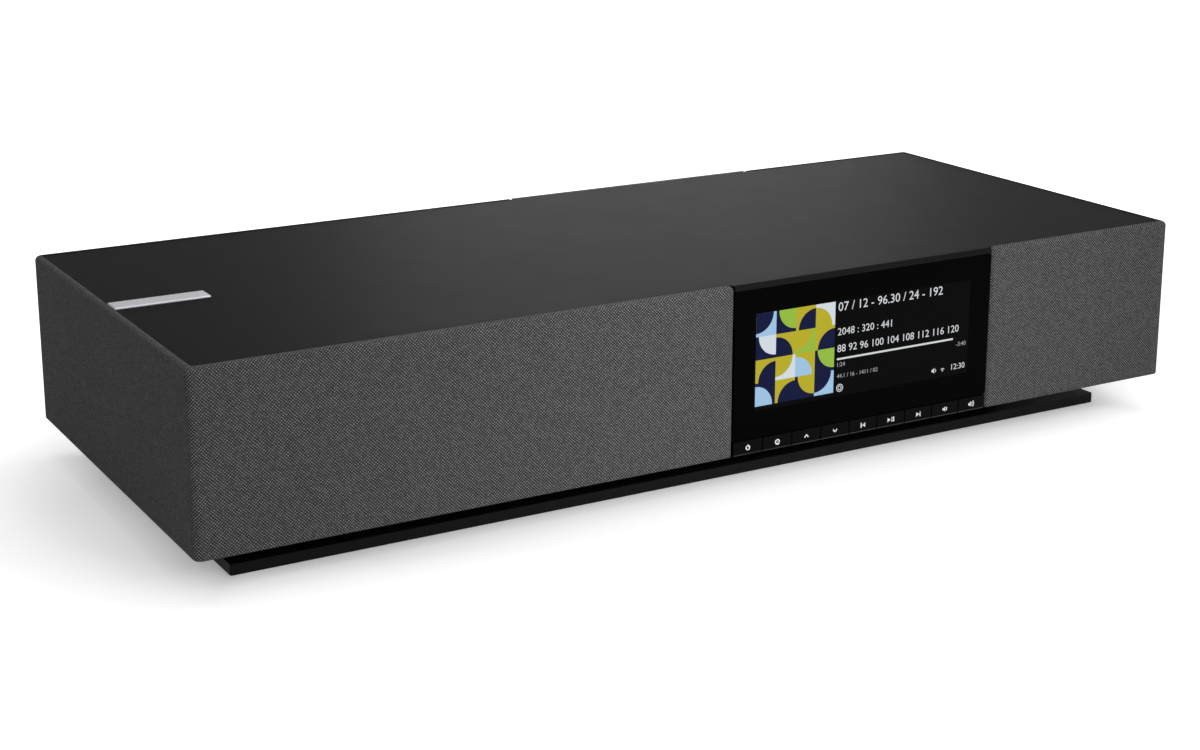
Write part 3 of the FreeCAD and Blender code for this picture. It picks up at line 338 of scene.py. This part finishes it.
def screen_light(name, colour):
    """Lit picture elements behind the pane, with the fine grid of the panel in them."""
    look = Surface(name)
    grid = look.add("ShaderNodeTexBrick", offset=0.0)
    grid.inputs["Scale"].default_value = 1 / (2 * PIXEL_SIZE * MM)
    grid.inputs["Mortar Size"].default_value = 0.03
    grid.inputs["Brick Width"].default_value = 0.5
    grid.inputs["Row Height"].default_value = 0.5
    for socket, share in (("Color1", 1.0), ("Color2", 0.94), ("Mortar", 0.7)):
        grid.inputs[socket].default_value = rgba(tuple(value * share for value in colour))
    turn = look.add("ShaderNodeMapping")
    turn.inputs["Rotation"].default_value = (math.pi / 2, 0, 0)
    look.feed(look.place(), turn.inputs["Vector"])
    look.feed(turn.outputs[0], grid.inputs["Vector"])
    look.feed(grid.outputs["Color"], look.shader.inputs["Emission Color"])
    look.shader.inputs["Emission Strength"].default_value = SCREEN_GLOW
    return look.finish(0.0005, 0.08, specular_ior_level=0.012)


def circuit(name):
    """Solder mask over copper runs, with tinned pads."""
    look = Surface(name)
    runs = look.add("ShaderNodeTexBrick", offset=0.37)
    runs.inputs["Scale"].default_value = 1 / (9 * MM)
    runs.inputs["Mortar Size"].default_value = 0.012
    runs.inputs["Color1"].default_value = rgba((0.010, 0.055, 0.022))
    runs.inputs["Color2"].default_value = rgba((0.012, 0.066, 0.026))
    runs.inputs["Mortar"].default_value = rgba((0.03, 0.13, 0.05))
    look.feed(look.place(), runs.inputs["Vector"])
    pads = look.add("ShaderNodeTexVoronoi")
    pads.inputs["Scale"].default_value = 1 / (3.4 * MM)
    look.feed(look.place(), pads.inputs["Vector"])
    is_pad = look.calc("LESS_THAN", pads.outputs["Distance"], 0.13)
    colour = look.blend(is_pad, runs.outputs["Color"], 0.45)
    look.bump(look.noise(0.8, 2), 0.02)
    return look.finish(colour, look.spread(is_pad, 0.45, 0.3, 0, 1))


def fibrous(name, dark, light, rough):
    """Pressed paper or silk with short fibres lying all ways."""
    look = Surface(name)
    lying = look.noise(0.5, 4, (1, 1, 0.25))
    crossing = look.noise(0.5, 4, (0.25, 1, 1))
    fibres = look.calc("MULTIPLY", look.calc("ADD", lying, crossing), 0.5)
    look.bump(fibres, 0.05)
    return look.finish(look.ramp(fibres, (0.35, dark), (0.65, light)), rough)


# Each slot's finish: name, dark and light colour, then for grained ones the size of the grain and its
# relief in millimetres, and for all the roughness. Its unevenness follows where it isn't the usual one.
LOOKS = {
    "satin_black_top": grained(
        "satin_paint", 0.009, 0.0125, 0.35, 0.004, 0.42, 0.01, specular_ior_level=0.0125
    ),
    "silver_plate": brushed(
        "brushed_silver", (0.80, 0.78, 0.82), (0.90, 0.88, 0.92), 0.34, "x", metallic=0.2
    ),
    "acoustic_cloth": woven("heather_cloth"),
    "moulded_black": grained("moulded_grain", 0.012, 0.020, 0.7, 0.03, 0.55, specular_ior_level=0.3),
    "display_glass": grained(
        "black_glass", 0.0004, 0.0006, 1.5, 0.0002, 0.06, 0.01, specular_ior_level=0.012
    ),
    "screen": grained("screen_backing", 0.003, 0.005, 1.0, 0.002, 0.3),
    "painted_plate": grained("powder_paint", 0.008, 0.012, 0.5, 0.01, 0.5, specular_ior_level=0.06),
    "foot_rubber": grained("foot_rubber", 0.015, 0.03, 0.4, 0.03, 0.85),
    "black_aluminium": brushed("anodised_black", 0.02, 0.035, 0.38, "x", metallic=0.3),
    "circuit_board": circuit("solder_mask"),
    "shield_metal": brushed("tinned_steel", 0.45, 0.6, 0.32, "z", metallic=0.9),
    "socket_plastic": grained("socket_plastic", 0.010, 0.016, 0.5, 0.01, 0.4),
    "basket_metal": grained("basket_paint", 0.03, 0.045, 0.5, 0.02, 0.45, metallic=0.2),
    "magnet_steel": grained("zinc_plate", 0.25, 0.34, 0.4, 0.01, 0.35, metallic=0.8),
    "surround_rubber": grained("surround_rubber", 0.012, 0.02, 0.3, 0.01, 0.6),
    "cone_paper": fibrous("cone_paper", 0.03, 0.06, 0.8),
    "dome_silk": fibrous("dome_silk", 0.015, 0.03, 0.7),
    "button_black": grained(
        "button_gloss", 0.0008, 0.0012, 0.4, 0.001, 0.2, 0.02, specular_ior_level=0.035
    ),
    "screw_steel": grained("black_oxide", 0.03, 0.05, 0.3, 0.01, 0.4, metallic=0.7),
}

# Width of the small round on the hard edges of solids that show, in millimetres.
BEVELS = {
    "top_panel": 0.35,
    "display_glass": 0.25,
    "badge_plate": 0.12,
    "base_plate": 0.3,
    "plinth_riser": 0.4,
    "rear_panel": 0.3,
    "heat_sink": 0.2,
    "display_carrier": 0.2,
}


def soften(piece, width):
    """Small rounds on a solid's hard edges, as paint, moulding or a deburring tool leaves them."""
    weld = piece.modifiers.new("weld", "WELD")
    weld.merge_threshold = SOLID_WELD * MM
    bevel = piece.modifiers.new("edge_round", "BEVEL")
    bevel.width = width * MM
    bevel.segments = BEVEL_FACES
    bevel.limit_method = "ANGLE"
    bevel.angle_limit = math.radians(HARD_ANGLE)
    bevel.harden_normals = True


def dress_nodes():
    """Gives every CAD node its material, and a small round on its hard edges where they show."""
    for name, node in nodes.items():
        for place in node.material_slots:
            place.material = LOOKS[place.material.name.split(".")[0]]
        if name in BEVELS:
            soften(node, BEVELS[name])
        elif name.endswith("_button"):
            soften(node, KEY_BEVEL)


def new_piece(name, mesh, body, slot, *materials):
    piece = bpy.data.objects.new(name, mesh)
    bpy.context.scene.collection.objects.link(piece)
    for material in materials:
        mesh.materials.append(material)
    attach(piece, body)
    return piece


def arc(centre, radius, start, sweep, steps):
    """Points and outward directions along an arc, in degrees."""
    found = []
    for step in range(steps + 1):
        angle = math.radians(start + sweep * step / steps)
        way = Vector((math.cos(angle), math.sin(angle)))
        found.append((Vector(centre) + way * radius, way))
    return found


def wrap_route(end):
    """Plan route of a wrap as (point, outward direction): front end, front, side, rear, rear end."""
    side = -1 if end < 0 else 1
    towards_end = Vector((-side, 0))
    out = Vector((side, 0))
    corner_x = side * (HALF_WIDTH - CORNER_ROUND)
    end_x = end + side * END_ROUND
    end_y = HALF_DEPTH - END_ROUND
    corner_y = HALF_DEPTH - CORNER_ROUND
    turn = 90 * side
    start = 180 if side > 0 else 0
    front_end = arc((end_x, -end_y), END_ROUND, start, turn, ARC_STEPS)
    front_corner = arc((corner_x, -corner_y), CORNER_ROUND, 270, turn, ARC_STEPS)
    rear_corner = arc((corner_x, corner_y), CORNER_ROUND, 0 if side > 0 else 180, turn, ARC_STEPS)
    rear_end = arc((end_x, end_y), END_ROUND, 90, turn, ARC_STEPS)
    inner_y = HALF_DEPTH - CLOTH_FOLD
    route = [(Vector((end, -inner_y)), towards_end), *front_end]
    route += straight(front_end[-1], front_corner[0])
    route += front_corner
    route += straight(front_corner[-1], rear_corner[0], out)
    route += rear_corner
    route += straight(rear_corner[-1], rear_end[0])
    route += rear_end
    route.append((Vector((end, inner_y)), towards_end))
    return route


def straight(start, stop, way=None):
    """Points between two others of a route, about RUN_STEP apart."""
    run = stop[0] - start[0]
    count = max(1, round(run.length / RUN_STEP))
    return [(start[0] + run * step / count, way or start[1]) for step in range(1, count)]


def wrap_section(skin):
    """Section of the folded cloth as (inset from the face, height), `skin` inside its surface."""
    low = CLOTH_BOTTOM + LOWER_ROUND
    high = CLOTH_TOP - UPPER_ROUND
    low_radius = LOWER_ROUND - skin
    high_radius = UPPER_ROUND - skin
    points = [(CLOTH_FOLD, CLOTH_BOTTOM + skin)]
    for step in range(ARC_STEPS + 1):
        angle = math.pi / 2 * step / ARC_STEPS
        inset = LOWER_ROUND - low_radius * math.sin(angle)
        points.append((inset, low - low_radius * math.cos(angle)))
    for step in range(1, WALL_STEPS):
        points.append((skin, low + (high - low) * step / WALL_STEPS))
    for step in range(ARC_STEPS + 1):
        angle = math.pi / 2 * step / ARC_STEPS
        inset = UPPER_ROUND - high_radius * math.cos(angle)
        points.append((inset, high + high_radius * math.sin(angle)))
    points.append((CLOTH_FOLD, CLOTH_TOP - skin))
    return points


def lengths_along(points):
    """Distance of each point of a line from its start, measured along it."""
    total = 0.0
    found = [0.0]
    for before, after in zip(points, points[1:]):
        total += (Vector(after) - Vector(before)).length
        found.append(total)
    return found


def make_cloth(name, node, end):
    """One wrap of stretched cloth, folded over the frame's edges and round its ends."""
    side = -1 if end < 0 else 1
    route = wrap_route(end)
    outer = wrap_section(0.0)
    inner = wrap_section(CLOTH_SKIN)
    along = lengths_along([point for point, _ in route])
    upwards = lengths_along(outer)
    loop = outer + inner[::-1]
    loop_up = upwards + upwards[::-1]
    shape = bmesh.new()
    weave = shape.loops.layers.uv.new("cloth")
    rings = []
    for point, way in route:
        ring = []
        for inset, height in loop:
            x, y = point - way * inset
            x = side * min(max(side * x, side * end + inset), HALF_WIDTH - inset)
            y = min(max(y, inset - HALF_DEPTH), HALF_DEPTH - inset)
            ring.append(shape.verts.new((x * MM, y * MM, height * MM)))
        rings.append(ring)

    def face(corners):
        made = shape.faces.new([rings[i][j % len(loop)] for i, j in corners])
        made.smooth = True
        for corner, (i, j) in zip(made.loops, corners):
            corner[weave].uv = (along[i] * MM, loop_up[j % len(loop)] * MM)

    for i in range(len(route) - 1):
        for j in range(len(loop)):
            face([(i, j), (i + 1, j), (i + 1, j + 1), (i, j + 1)])
    last = len(loop) - 1
    for i in (0, len(route) - 1):
        for j in range(len(outer) - 1):
            face([(i, j), (i, j + 1), (i, last - j - 1), (i, last - j)])
    piece = finish_shape(shape, name, "root", "acoustic_cloth", LOOKS["acoustic_cloth"])
    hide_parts(node)


def outline_slab(shape, outline, front, back, material=0):
    """A flat slab between two planes, from its outline (x, z) in millimetres."""
    near = [shape.verts.new((x * MM, front * MM, z * MM)) for x, z in outline]
    far = [shape.verts.new((x * MM, back * MM, z * MM)) for x, z in outline]
    faces = [shape.faces.new(near), shape.faces.new(far[::-1])]
    for i in range(len(outline)):
        j = (i + 1) % len(outline)
        faces.append(shape.faces.new([near[i], far[i], far[j], near[j]]))
    for face in faces:
        face.material_index = material


def band_slab(shape, inner, outer, front, back):
    """A flat slab between two lines with as many points each: a ring, arc or stroke."""
    for i in range(len(inner) - 1):
        outline_slab(shape, [inner[i], inner[i + 1], outer[i + 1], outer[i]], front, back)


def ring_slab(shape, x, z, radius, width, start, sweep, front, back):
    """A ring or part of one, in degrees, centred on a line of the given radius."""
    steps = max(LEAST_RING_STEPS, round(abs(sweep) / RING_STEP))
    paths = []
    for reach in (radius - width / 2, radius + width / 2):
        points = arc((x, z), reach, start, sweep, steps)
        paths.append([tuple(point) for point, _ in points])
    band_slab(shape, *paths, front, back)


def stroke_slab(shape, points, width, front, back):
    """A bent stroke of even width along points (x, z), with mitred bends."""
    left = []
    right = []
    for i, point in enumerate(points):
        here = Vector(point)
        before = (here - Vector(points[i - 1])).normalized() if i else None
        after = (Vector(points[i + 1]) - here).normalized() if i + 1 < len(points) else None
        way = ((before or after) + (after or before)).normalized()
        across = Vector((-way.y, way.x))
        reach = width / 2 / max(LEAST_MITRE_COSINE, way.dot(after or before))
        left.append(tuple(here + across * reach))
        right.append(tuple(here - across * reach))
    band_slab(shape, right, left, front, back)


def disc_outline(x, z, radius, steps):
    """Points round a full circle, the first one not repeated."""
    return [tuple(point) for point, _ in arc((x, z), radius, 0, 360, steps)[:-1]]


def finish_shape(shape, name, body, slot, *materials, weld=True):
    """Turns a drawn shape into a piece that rides on a body."""
    mesh = bpy.data.meshes.new(name)
    if weld:
        bmesh.ops.remove_doubles(shape, verts=shape.verts, dist=WELD_REACH * MM)
    bmesh.ops.recalc_face_normals(shape, faces=shape.faces)
    shape.to_mesh(mesh)
    shape.free()
    return new_piece(name, mesh, body, slot, *materials)


def rounded_outline(left, bottom, right, top, radius, steps=4):
    """Points round a rectangle with round corners."""
    corners = (
        ((right - radius, top - radius), 0),
        ((left + radius, top - radius), 90),
        ((left + radius, bottom + radius), 180),
        ((right - radius, bottom + radius), 270),
    )
    outline = []
    for centre, start in corners:
        outline += [tuple(point) for point, _ in arc(centre, radius, start, 90, steps)]
    return outline


def make_digits(name, rows, level, material):
    """Rows of plain numbers (text, x, side that x is on, base line, height of a digit)."""
    shape = bmesh.new()
    for text, x, side, base, height in rows:
        curve = bpy.data.curves.new("digits", "FONT")
        curve.body = text
        curve.resolution_u = 3
        curve.extrude = 0.5
        source = bpy.data.objects.new("digits", curve)
        bpy.context.scene.collection.objects.link(source)
        flat = source.evaluated_get(bpy.context.evaluated_depsgraph_get())
        mesh = bpy.data.meshes.new_from_object(flat)
        reach = [vertex.co.x for vertex in mesh.vertices]
        end = min(reach) if side == "left" else max(reach)
        scale = height / max(vertex.co.y for vertex in mesh.vertices)
        for vertex in mesh.vertices:
            along, up, depth = vertex.co
            vertex.co = (
                (x + (along - end) * scale) * MM,
                (level - MARK_DEPTH * depth) * MM,
                (base + up * scale) * MM,
            )
        shape.from_mesh(mesh)
        bpy.data.objects.remove(source)
        bpy.data.curves.remove(curve)
        bpy.data.meshes.remove(mesh)
    finish_shape(shape, name, "root", "screen", material)


def make_screen():
    """The lit picture: its area, a generic tile pattern, plain numbers, a bar and round marks."""
    lit = screen_light("screen_black", (0.0028, 0.0029, 0.0031))
    white = screen_light("screen_white", (0.80, 0.82, 0.85))
    grey = screen_light("screen_grey", (0.42, 0.43, 0.45))
    area = bmesh.new()
    outline = rounded_outline(SCREEN_LEFT, SCREEN_BOTTOM, SCREEN_RIGHT, SCREEN_TOP, SCREEN_ROUND)
    outline_slab(area, outline, PANE_FRONT - LIT_RISE, PANE_FRONT + LIT_DEPTH)
    finish_shape(area, "screen_area", "root", "screen", lit)

    level = PANE_FRONT - MARK_RISE
    back = PANE_FRONT - MARK_BACK
    rows = [
        ("07 / 12 - 96.30 / 24 - 192", 70.4, "left", 105.6, 5.5),
        ("2048 : 320 : 441", 70.4, "left", 90.3, 4.5),
        ("88 92 96 100 104 108 112 116 120", 70.4, "left", 79.6, 4.6),
        ("12:30", 170.7, "right", 55.0, 3.7),
    ]
    make_digits("screen_numbers", rows, level, white)
    small = [
        ("1:24", 70.6, "left", 70.3, 2.7),
        ("-3:40", 170.8, "right", 70.0, 2.7),
        ("44.1 / 16 - 1411 / 02", 70.6, "left", 63.0, 2.6),
    ]
    make_digits("screen_small_numbers", small, level, grey)

    marks = bmesh.new()
    progress = rounded_outline(70.2, 74.6, 160.4, 75.8, 0.3, 3)
    outline_slab(marks, progress, level, back)
    for dial in (2.3, 1.2):
        ring_slab(marks, 72.9, 56.6, dial, 0.5, 0, 360, level, back)
    for wave in (1.0, 1.9):
        ring_slab(marks, 153.0, 55.0, wave, 0.4, 45, 90, level, back)
    wave_source = disc_outline(153.0, 55.2, 0.35, 10)
    outline_slab(marks, wave_source, level, back)
    outline_slab(marks, speaker(145.8, 56.4), level, back)
    ring_slab(marks, 146.3, 56.4, 1.3, 0.4, -50, 100, level, back)
    finish_shape(marks, "screen_marks", "root", "screen", white)
    make_tiles(level, back)


def make_tiles(level, back):
    """A generic square of quarter rounds on coloured tiles; the rows count from the bottom."""
    colours = [
        (0.58, 0.50, 0.03),
        (0.010, 0.014, 0.06),
        (0.42, 0.66, 0.92),
        (0.36, 0.60, 0.07),
        (0.78, 0.86, 0.92),
    ]
    materials = [screen_light(f"screen_tile_{number}", colour) for number, colour in enumerate(colours)]
    size = PICTURE_SIDE / TILES
    grounds = [
        [1, 0, 1, 2],
        [0, 4, 0, 1],
        [1, 0, 3, 0],
        [2, 1, 0, 4],
    ]
    rounds = [
        [2, 1, 0, 1],
        [1, 0, 2, 3],
        [4, 1, 0, 1],
        [1, 3, 1, 0],
    ]
    turns = [
        [0, 90, 180, 270],
        [90, 270, 0, 180],
        [180, 0, 270, 90],
        [270, 180, 90, 0],
    ]
    shape = bmesh.new()
    ground_level = level + TILE_GROUND
    for row in range(TILES):
        for column in range(TILES):
            x = PICTURE_LEFT + column * size
            z = PICTURE_BOTTOM + row * size
            square = [(x, z), (x + size, z), (x + size, z + size), (x, z + size)]
            outline_slab(shape, square, ground_level, back, grounds[row][column])
            turn = turns[row][column]
            corner = square[turn // 90]
            rim = arc(corner, size * ROUND_SHARE, turn, 90, ROUND_STEPS)
            sector = [corner, *(tuple(point) for point, _ in rim)]
            outline_slab(shape, sector, level, ground_level + TILE_GROUND / 2, rounds[row][column])
    finish_shape(shape, "screen_picture", "root", "screen", *materials, weld=False)


def triangle(x, way):
    """A triangle that points left (-1) or right (1)."""
    reach = way * SIGN_TRIANGLE / 2
    height = SIGN_TRIANGLE * TRIANGLE_SHARE
    return [(x - reach, -height), (x + reach, 0), (x - reach, height)]


def bar(x, z, height):
    """An upright bar as wide as a stroke."""
    half = SIGN_STROKE / 2
    radius = SIGN_STROKE * BAR_ROUND_SHARE
    return rounded_outline(x - half, z - height / 2, x + half, z + height / 2, radius, 2)


def speaker(x, z):
    """A small loudspeaker sign, its mouth to the right."""
    return [
        (x - 1.5, z - 0.8),
        (x - 0.6, z - 0.8),
        (x + 0.6, z - 1.8),
        (x + 0.6, z + 1.8),
        (x - 0.6, z + 0.8),
        (x - 1.5, z + 0.8),
    ]


def make_symbols():
    """Printed signs on the nine buttons, each riding on its own button."""
    look = Surface("button_print")
    print_grain = look.noise(0.2, 2)
    colour = look.ramp(print_grain, (0.3, 0.72), (0.7, 0.84))
    ink = look.finish(colour, 0.5)
    front = PANE_FRONT - INK_RISE
    back = PANE_FRONT + INK_DEPTH
    for name in nodes:
        if not name.endswith("_button"):
            continue
        low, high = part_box(name)
        middle = Vector(((low.x + high.x) / 2, 0, (CLOTH_BOTTOM + SIGN_RISE) * MM))
        shape = bmesh.new()
        outlines, rings, strokes = symbol_parts(name)
        for outline in outlines:
            outline_slab(shape, outline, front, back)
        for radius, width, start, sweep, x in rings:
            ring_slab(shape, x, 0, radius, width, start, sweep, front, back)
        for points in strokes:
            stroke_slab(shape, points, SIGN_STROKE, front, back)
        bmesh.ops.scale(shape, vec=(SIGN_SCALE, 1, SIGN_SCALE), verts=shape.verts)
        bmesh.ops.translate(shape, vec=middle, verts=shape.verts)
        finish_shape(shape, f"{name}_sign", name, "button_black", ink)


def symbol_parts(name):
    """One button's sign about its middle: outlines, rings (radius, width, start, sweep, x), strokes."""
    stroke = SIGN_STROKE
    height = SIGN_HEIGHT
    chevron = [(-1.6, -0.8), (0, 0.8), (1.6, -0.8)]
    if name == "power_button":
        return [bar(0, 1.3, 1.6)], [(1.4, stroke, 125, 290, 0)], []
    if name == "source_button":
        return [disc_outline(0, 0, 0.4, 12)], [(1.5, stroke, 0, 360, 0)], []
    if name == "up_button":
        return [], [], [chevron]
    if name == "down_button":
        return [], [], [[(x, -z) for x, z in chevron]]
    if name == "previous_button":
        return [bar(-1.6, 0, height), triangle(0.4, -1)], [], []
    if name == "next_button":
        return [bar(1.6, 0, height), triangle(-0.4, 1)], [], []
    if name == "play_button":
        return [triangle(-1.5, 1), bar(0.9, 0, height), bar(2.3, 0, height)], [], []
    if name == "volume_down_button":
        return [speaker(-0.5, 0)], [(1.4, stroke, -55, 110, -0.1)], []
    return [speaker(-1.2, 0)], [(1.4, 0.7, -55, 110, -0.8), (2.7, 0.7, -50, 100, -0.8)], []


def make_camera():
    """The photograph's viewpoint."""
    yaw = math.radians(CAMERA_YAW)
    pitch = math.radians(CAMERA_PITCH)
    level = math.cos(pitch)
    way = Vector((math.sin(yaw) * level, math.cos(yaw) * level, -math.sin(pitch)))
    data = bpy.data.cameras.new("camera")
    data.lens = CAMERA_LENS
    data.sensor_width = SENSOR_WIDTH
    data.shift_y = CAMERA_SHIFT
    data.clip_start = 0.05
    data.clip_end = 50.0
    camera = bpy.data.objects.new("camera", data)
    camera.location = CAMERA_PLACE
    camera.rotation_mode = "QUATERNION"
    camera.rotation_quaternion = way.to_track_quat("-Z", "Y")
    bpy.context.scene.collection.objects.link(camera)
    bpy.context.scene.camera = camera


def make_floor():
    """Pale floor that is white away from the object and keeps its shadow, with a painted shadow round
    the object from a glow that is lower there, darkest at the plate.
    """
    look = Surface("pale_floor")
    clouds = look.noise(400, 2)
    look.finish(look.ramp(clouds, (0.3, 0.80), (0.7, 0.82)), 0.9, specular_ior_level=0.0)
    path = look.add("ShaderNodeLightPath")
    seen = look.calc("MAXIMUM", path.outputs["Is Camera Ray"], path.outputs["Is Glossy Ray"])
    seen = look.calc("MAXIMUM", seen, path.outputs["Is Transmission Ray"])
    distance = look.add("ShaderNodeVectorMath", operation="LENGTH")
    look.feed(look.place((WIDTH_SHARE, 1.0, 0.0)), distance.inputs[0])
    # Lower glow near the middle: painted shadow on the floor round the object.
    level = look.spread(distance.outputs["Value"], GLOW_LOW, 1.0, GLOW_START, GLOW_FULL)
    axes = look.add("ShaderNodeSeparateXYZ")
    look.feed(look.place(), axes.inputs[0])
    beyond = [
        look.calc("SUBTRACT", look.calc("ABSOLUTE", axes.outputs[0]), PLATE_HALF_WIDTH * MM),
        look.calc("SUBTRACT", look.calc("ABSOLUTE", axes.outputs[1]), PLATE_HALF_DEPTH * MM),
    ]
    # Less glow still beside the base plate: a painted shadow along the plate's edge.
    painted_contact_shadow = look.spread(look.calc("MAXIMUM", *beyond), PAINTED_CONTACT_SHADOW, 0.0, 0.0, CONTACT_REACH)
    level = look.calc("SUBTRACT", level, painted_contact_shadow)
    glow = look.add("ShaderNodeEmission")
    look.feed(look.calc("MULTIPLY", seen, level), glow.inputs["Strength"])
    both = look.add("ShaderNodeAddShader")
    look.feed(look.shader.outputs[0], both.inputs[0])
    look.feed(glow.outputs[0], both.inputs[1])
    look.feed(both.outputs[0], look.tree.nodes["Material Output"].inputs["Surface"])
    rim = [tuple(point) for point, _ in arc((0, 0), STAGE_REACH, 0, 360, STAGE_SIDES)[:-1]]
    corners = [(x, y, 0) for x, y in rim] + [(x, y, BACKDROP_HEIGHT) for x, y in rim]
    walls = []
    for i in range(STAGE_SIDES):
        j = (i + 1) % STAGE_SIDES
        walls.append((i, i + STAGE_SIDES, j + STAGE_SIDES, j))
    mesh = bpy.data.meshes.new("floor")
    mesh.from_pydata(corners, [], [tuple(range(STAGE_SIDES)), *walls])
    mesh.materials.append(look.material)
    floor = bpy.data.objects.new("floor", mesh)
    bpy.context.scene.collection.objects.link(floor)


def make_lamp(name, place, aim, width, height, power, spread=180):
    """A rectangular lamp, in metres and watts; the spread is its beam's full angle in degrees."""
    data = bpy.data.lights.new(name, "AREA")
    data.shape = "RECTANGLE"
    data.spread = math.radians(spread)
    data.size = width
    data.size_y = height
    data.energy = power
    lamp = bpy.data.objects.new(name, data)
    lamp.location = place
    lamp.rotation_mode = "QUATERNION"
    lamp.rotation_quaternion = (Vector(aim) - Vector(place)).to_track_quat("-Z", "Y")
    bpy.context.scene.collection.objects.link(lamp)


def make_light():
    """Soft studio light: a key, a narrow beam on the front, a sheen from behind, pale walls."""
    make_lamp("key", (0.0, -1.6, 1.15), (0.03, 0, 0.05), width=1.5, height=1.0, power=14)
    make_lamp(
        "front_spot", (0.05, -1.6, 0.8), (0.03, -0.14, 0.1), width=0.25, height=0.2, power=0.3, spread=29
    )
    make_lamp("sheen", (1.81, 3.0, 1.05), (0.1, 0, 0.1), width=1.25, height=0.8, power=8.5)
    make_lamp("overhead", (0.3, 0.2, 2.6), (0, 0, 0), width=2.6, height=2.0, power=26)
    world = bpy.data.worlds.new("studio")
    world.use_nodes = True
    bpy.context.scene.world = world
    tree = world.node_tree
    place = tree.nodes.new("ShaderNodeTexCoord")
    axes = tree.nodes.new("ShaderNodeSeparateXYZ")
    tree.links.new(place.outputs["Generated"], axes.inputs[0])
    background = tree.nodes["Background"]
    by_height = ((0.0, 0.16), (0.8, 0.12))
    by_side = ((0.0, 0.62), (0.3, 0.58), (0.6, 1.1))
    for axis, stops, socket in (("Z", by_height, "Color"), ("X", by_side, "Strength")):
        ramp = tree.nodes.new("ShaderNodeValToRGB")
        set_stops(ramp, stops)
        tree.links.new(axes.outputs[axis], ramp.inputs[0])
        tree.links.new(ramp.outputs[0], background.inputs[socket])


dress_nodes()
make_cloth("left_cloth_wrap", "left_grille_cloth", LEFT_CLOTH_END)
make_cloth("right_cloth_wrap", "right_grille_cloth", RIGHT_CLOTH_END)
make_screen()
make_symbols()
make_camera()
make_floor()
make_light()
bpy.context.scene.view_settings.view_transform = "Standard"
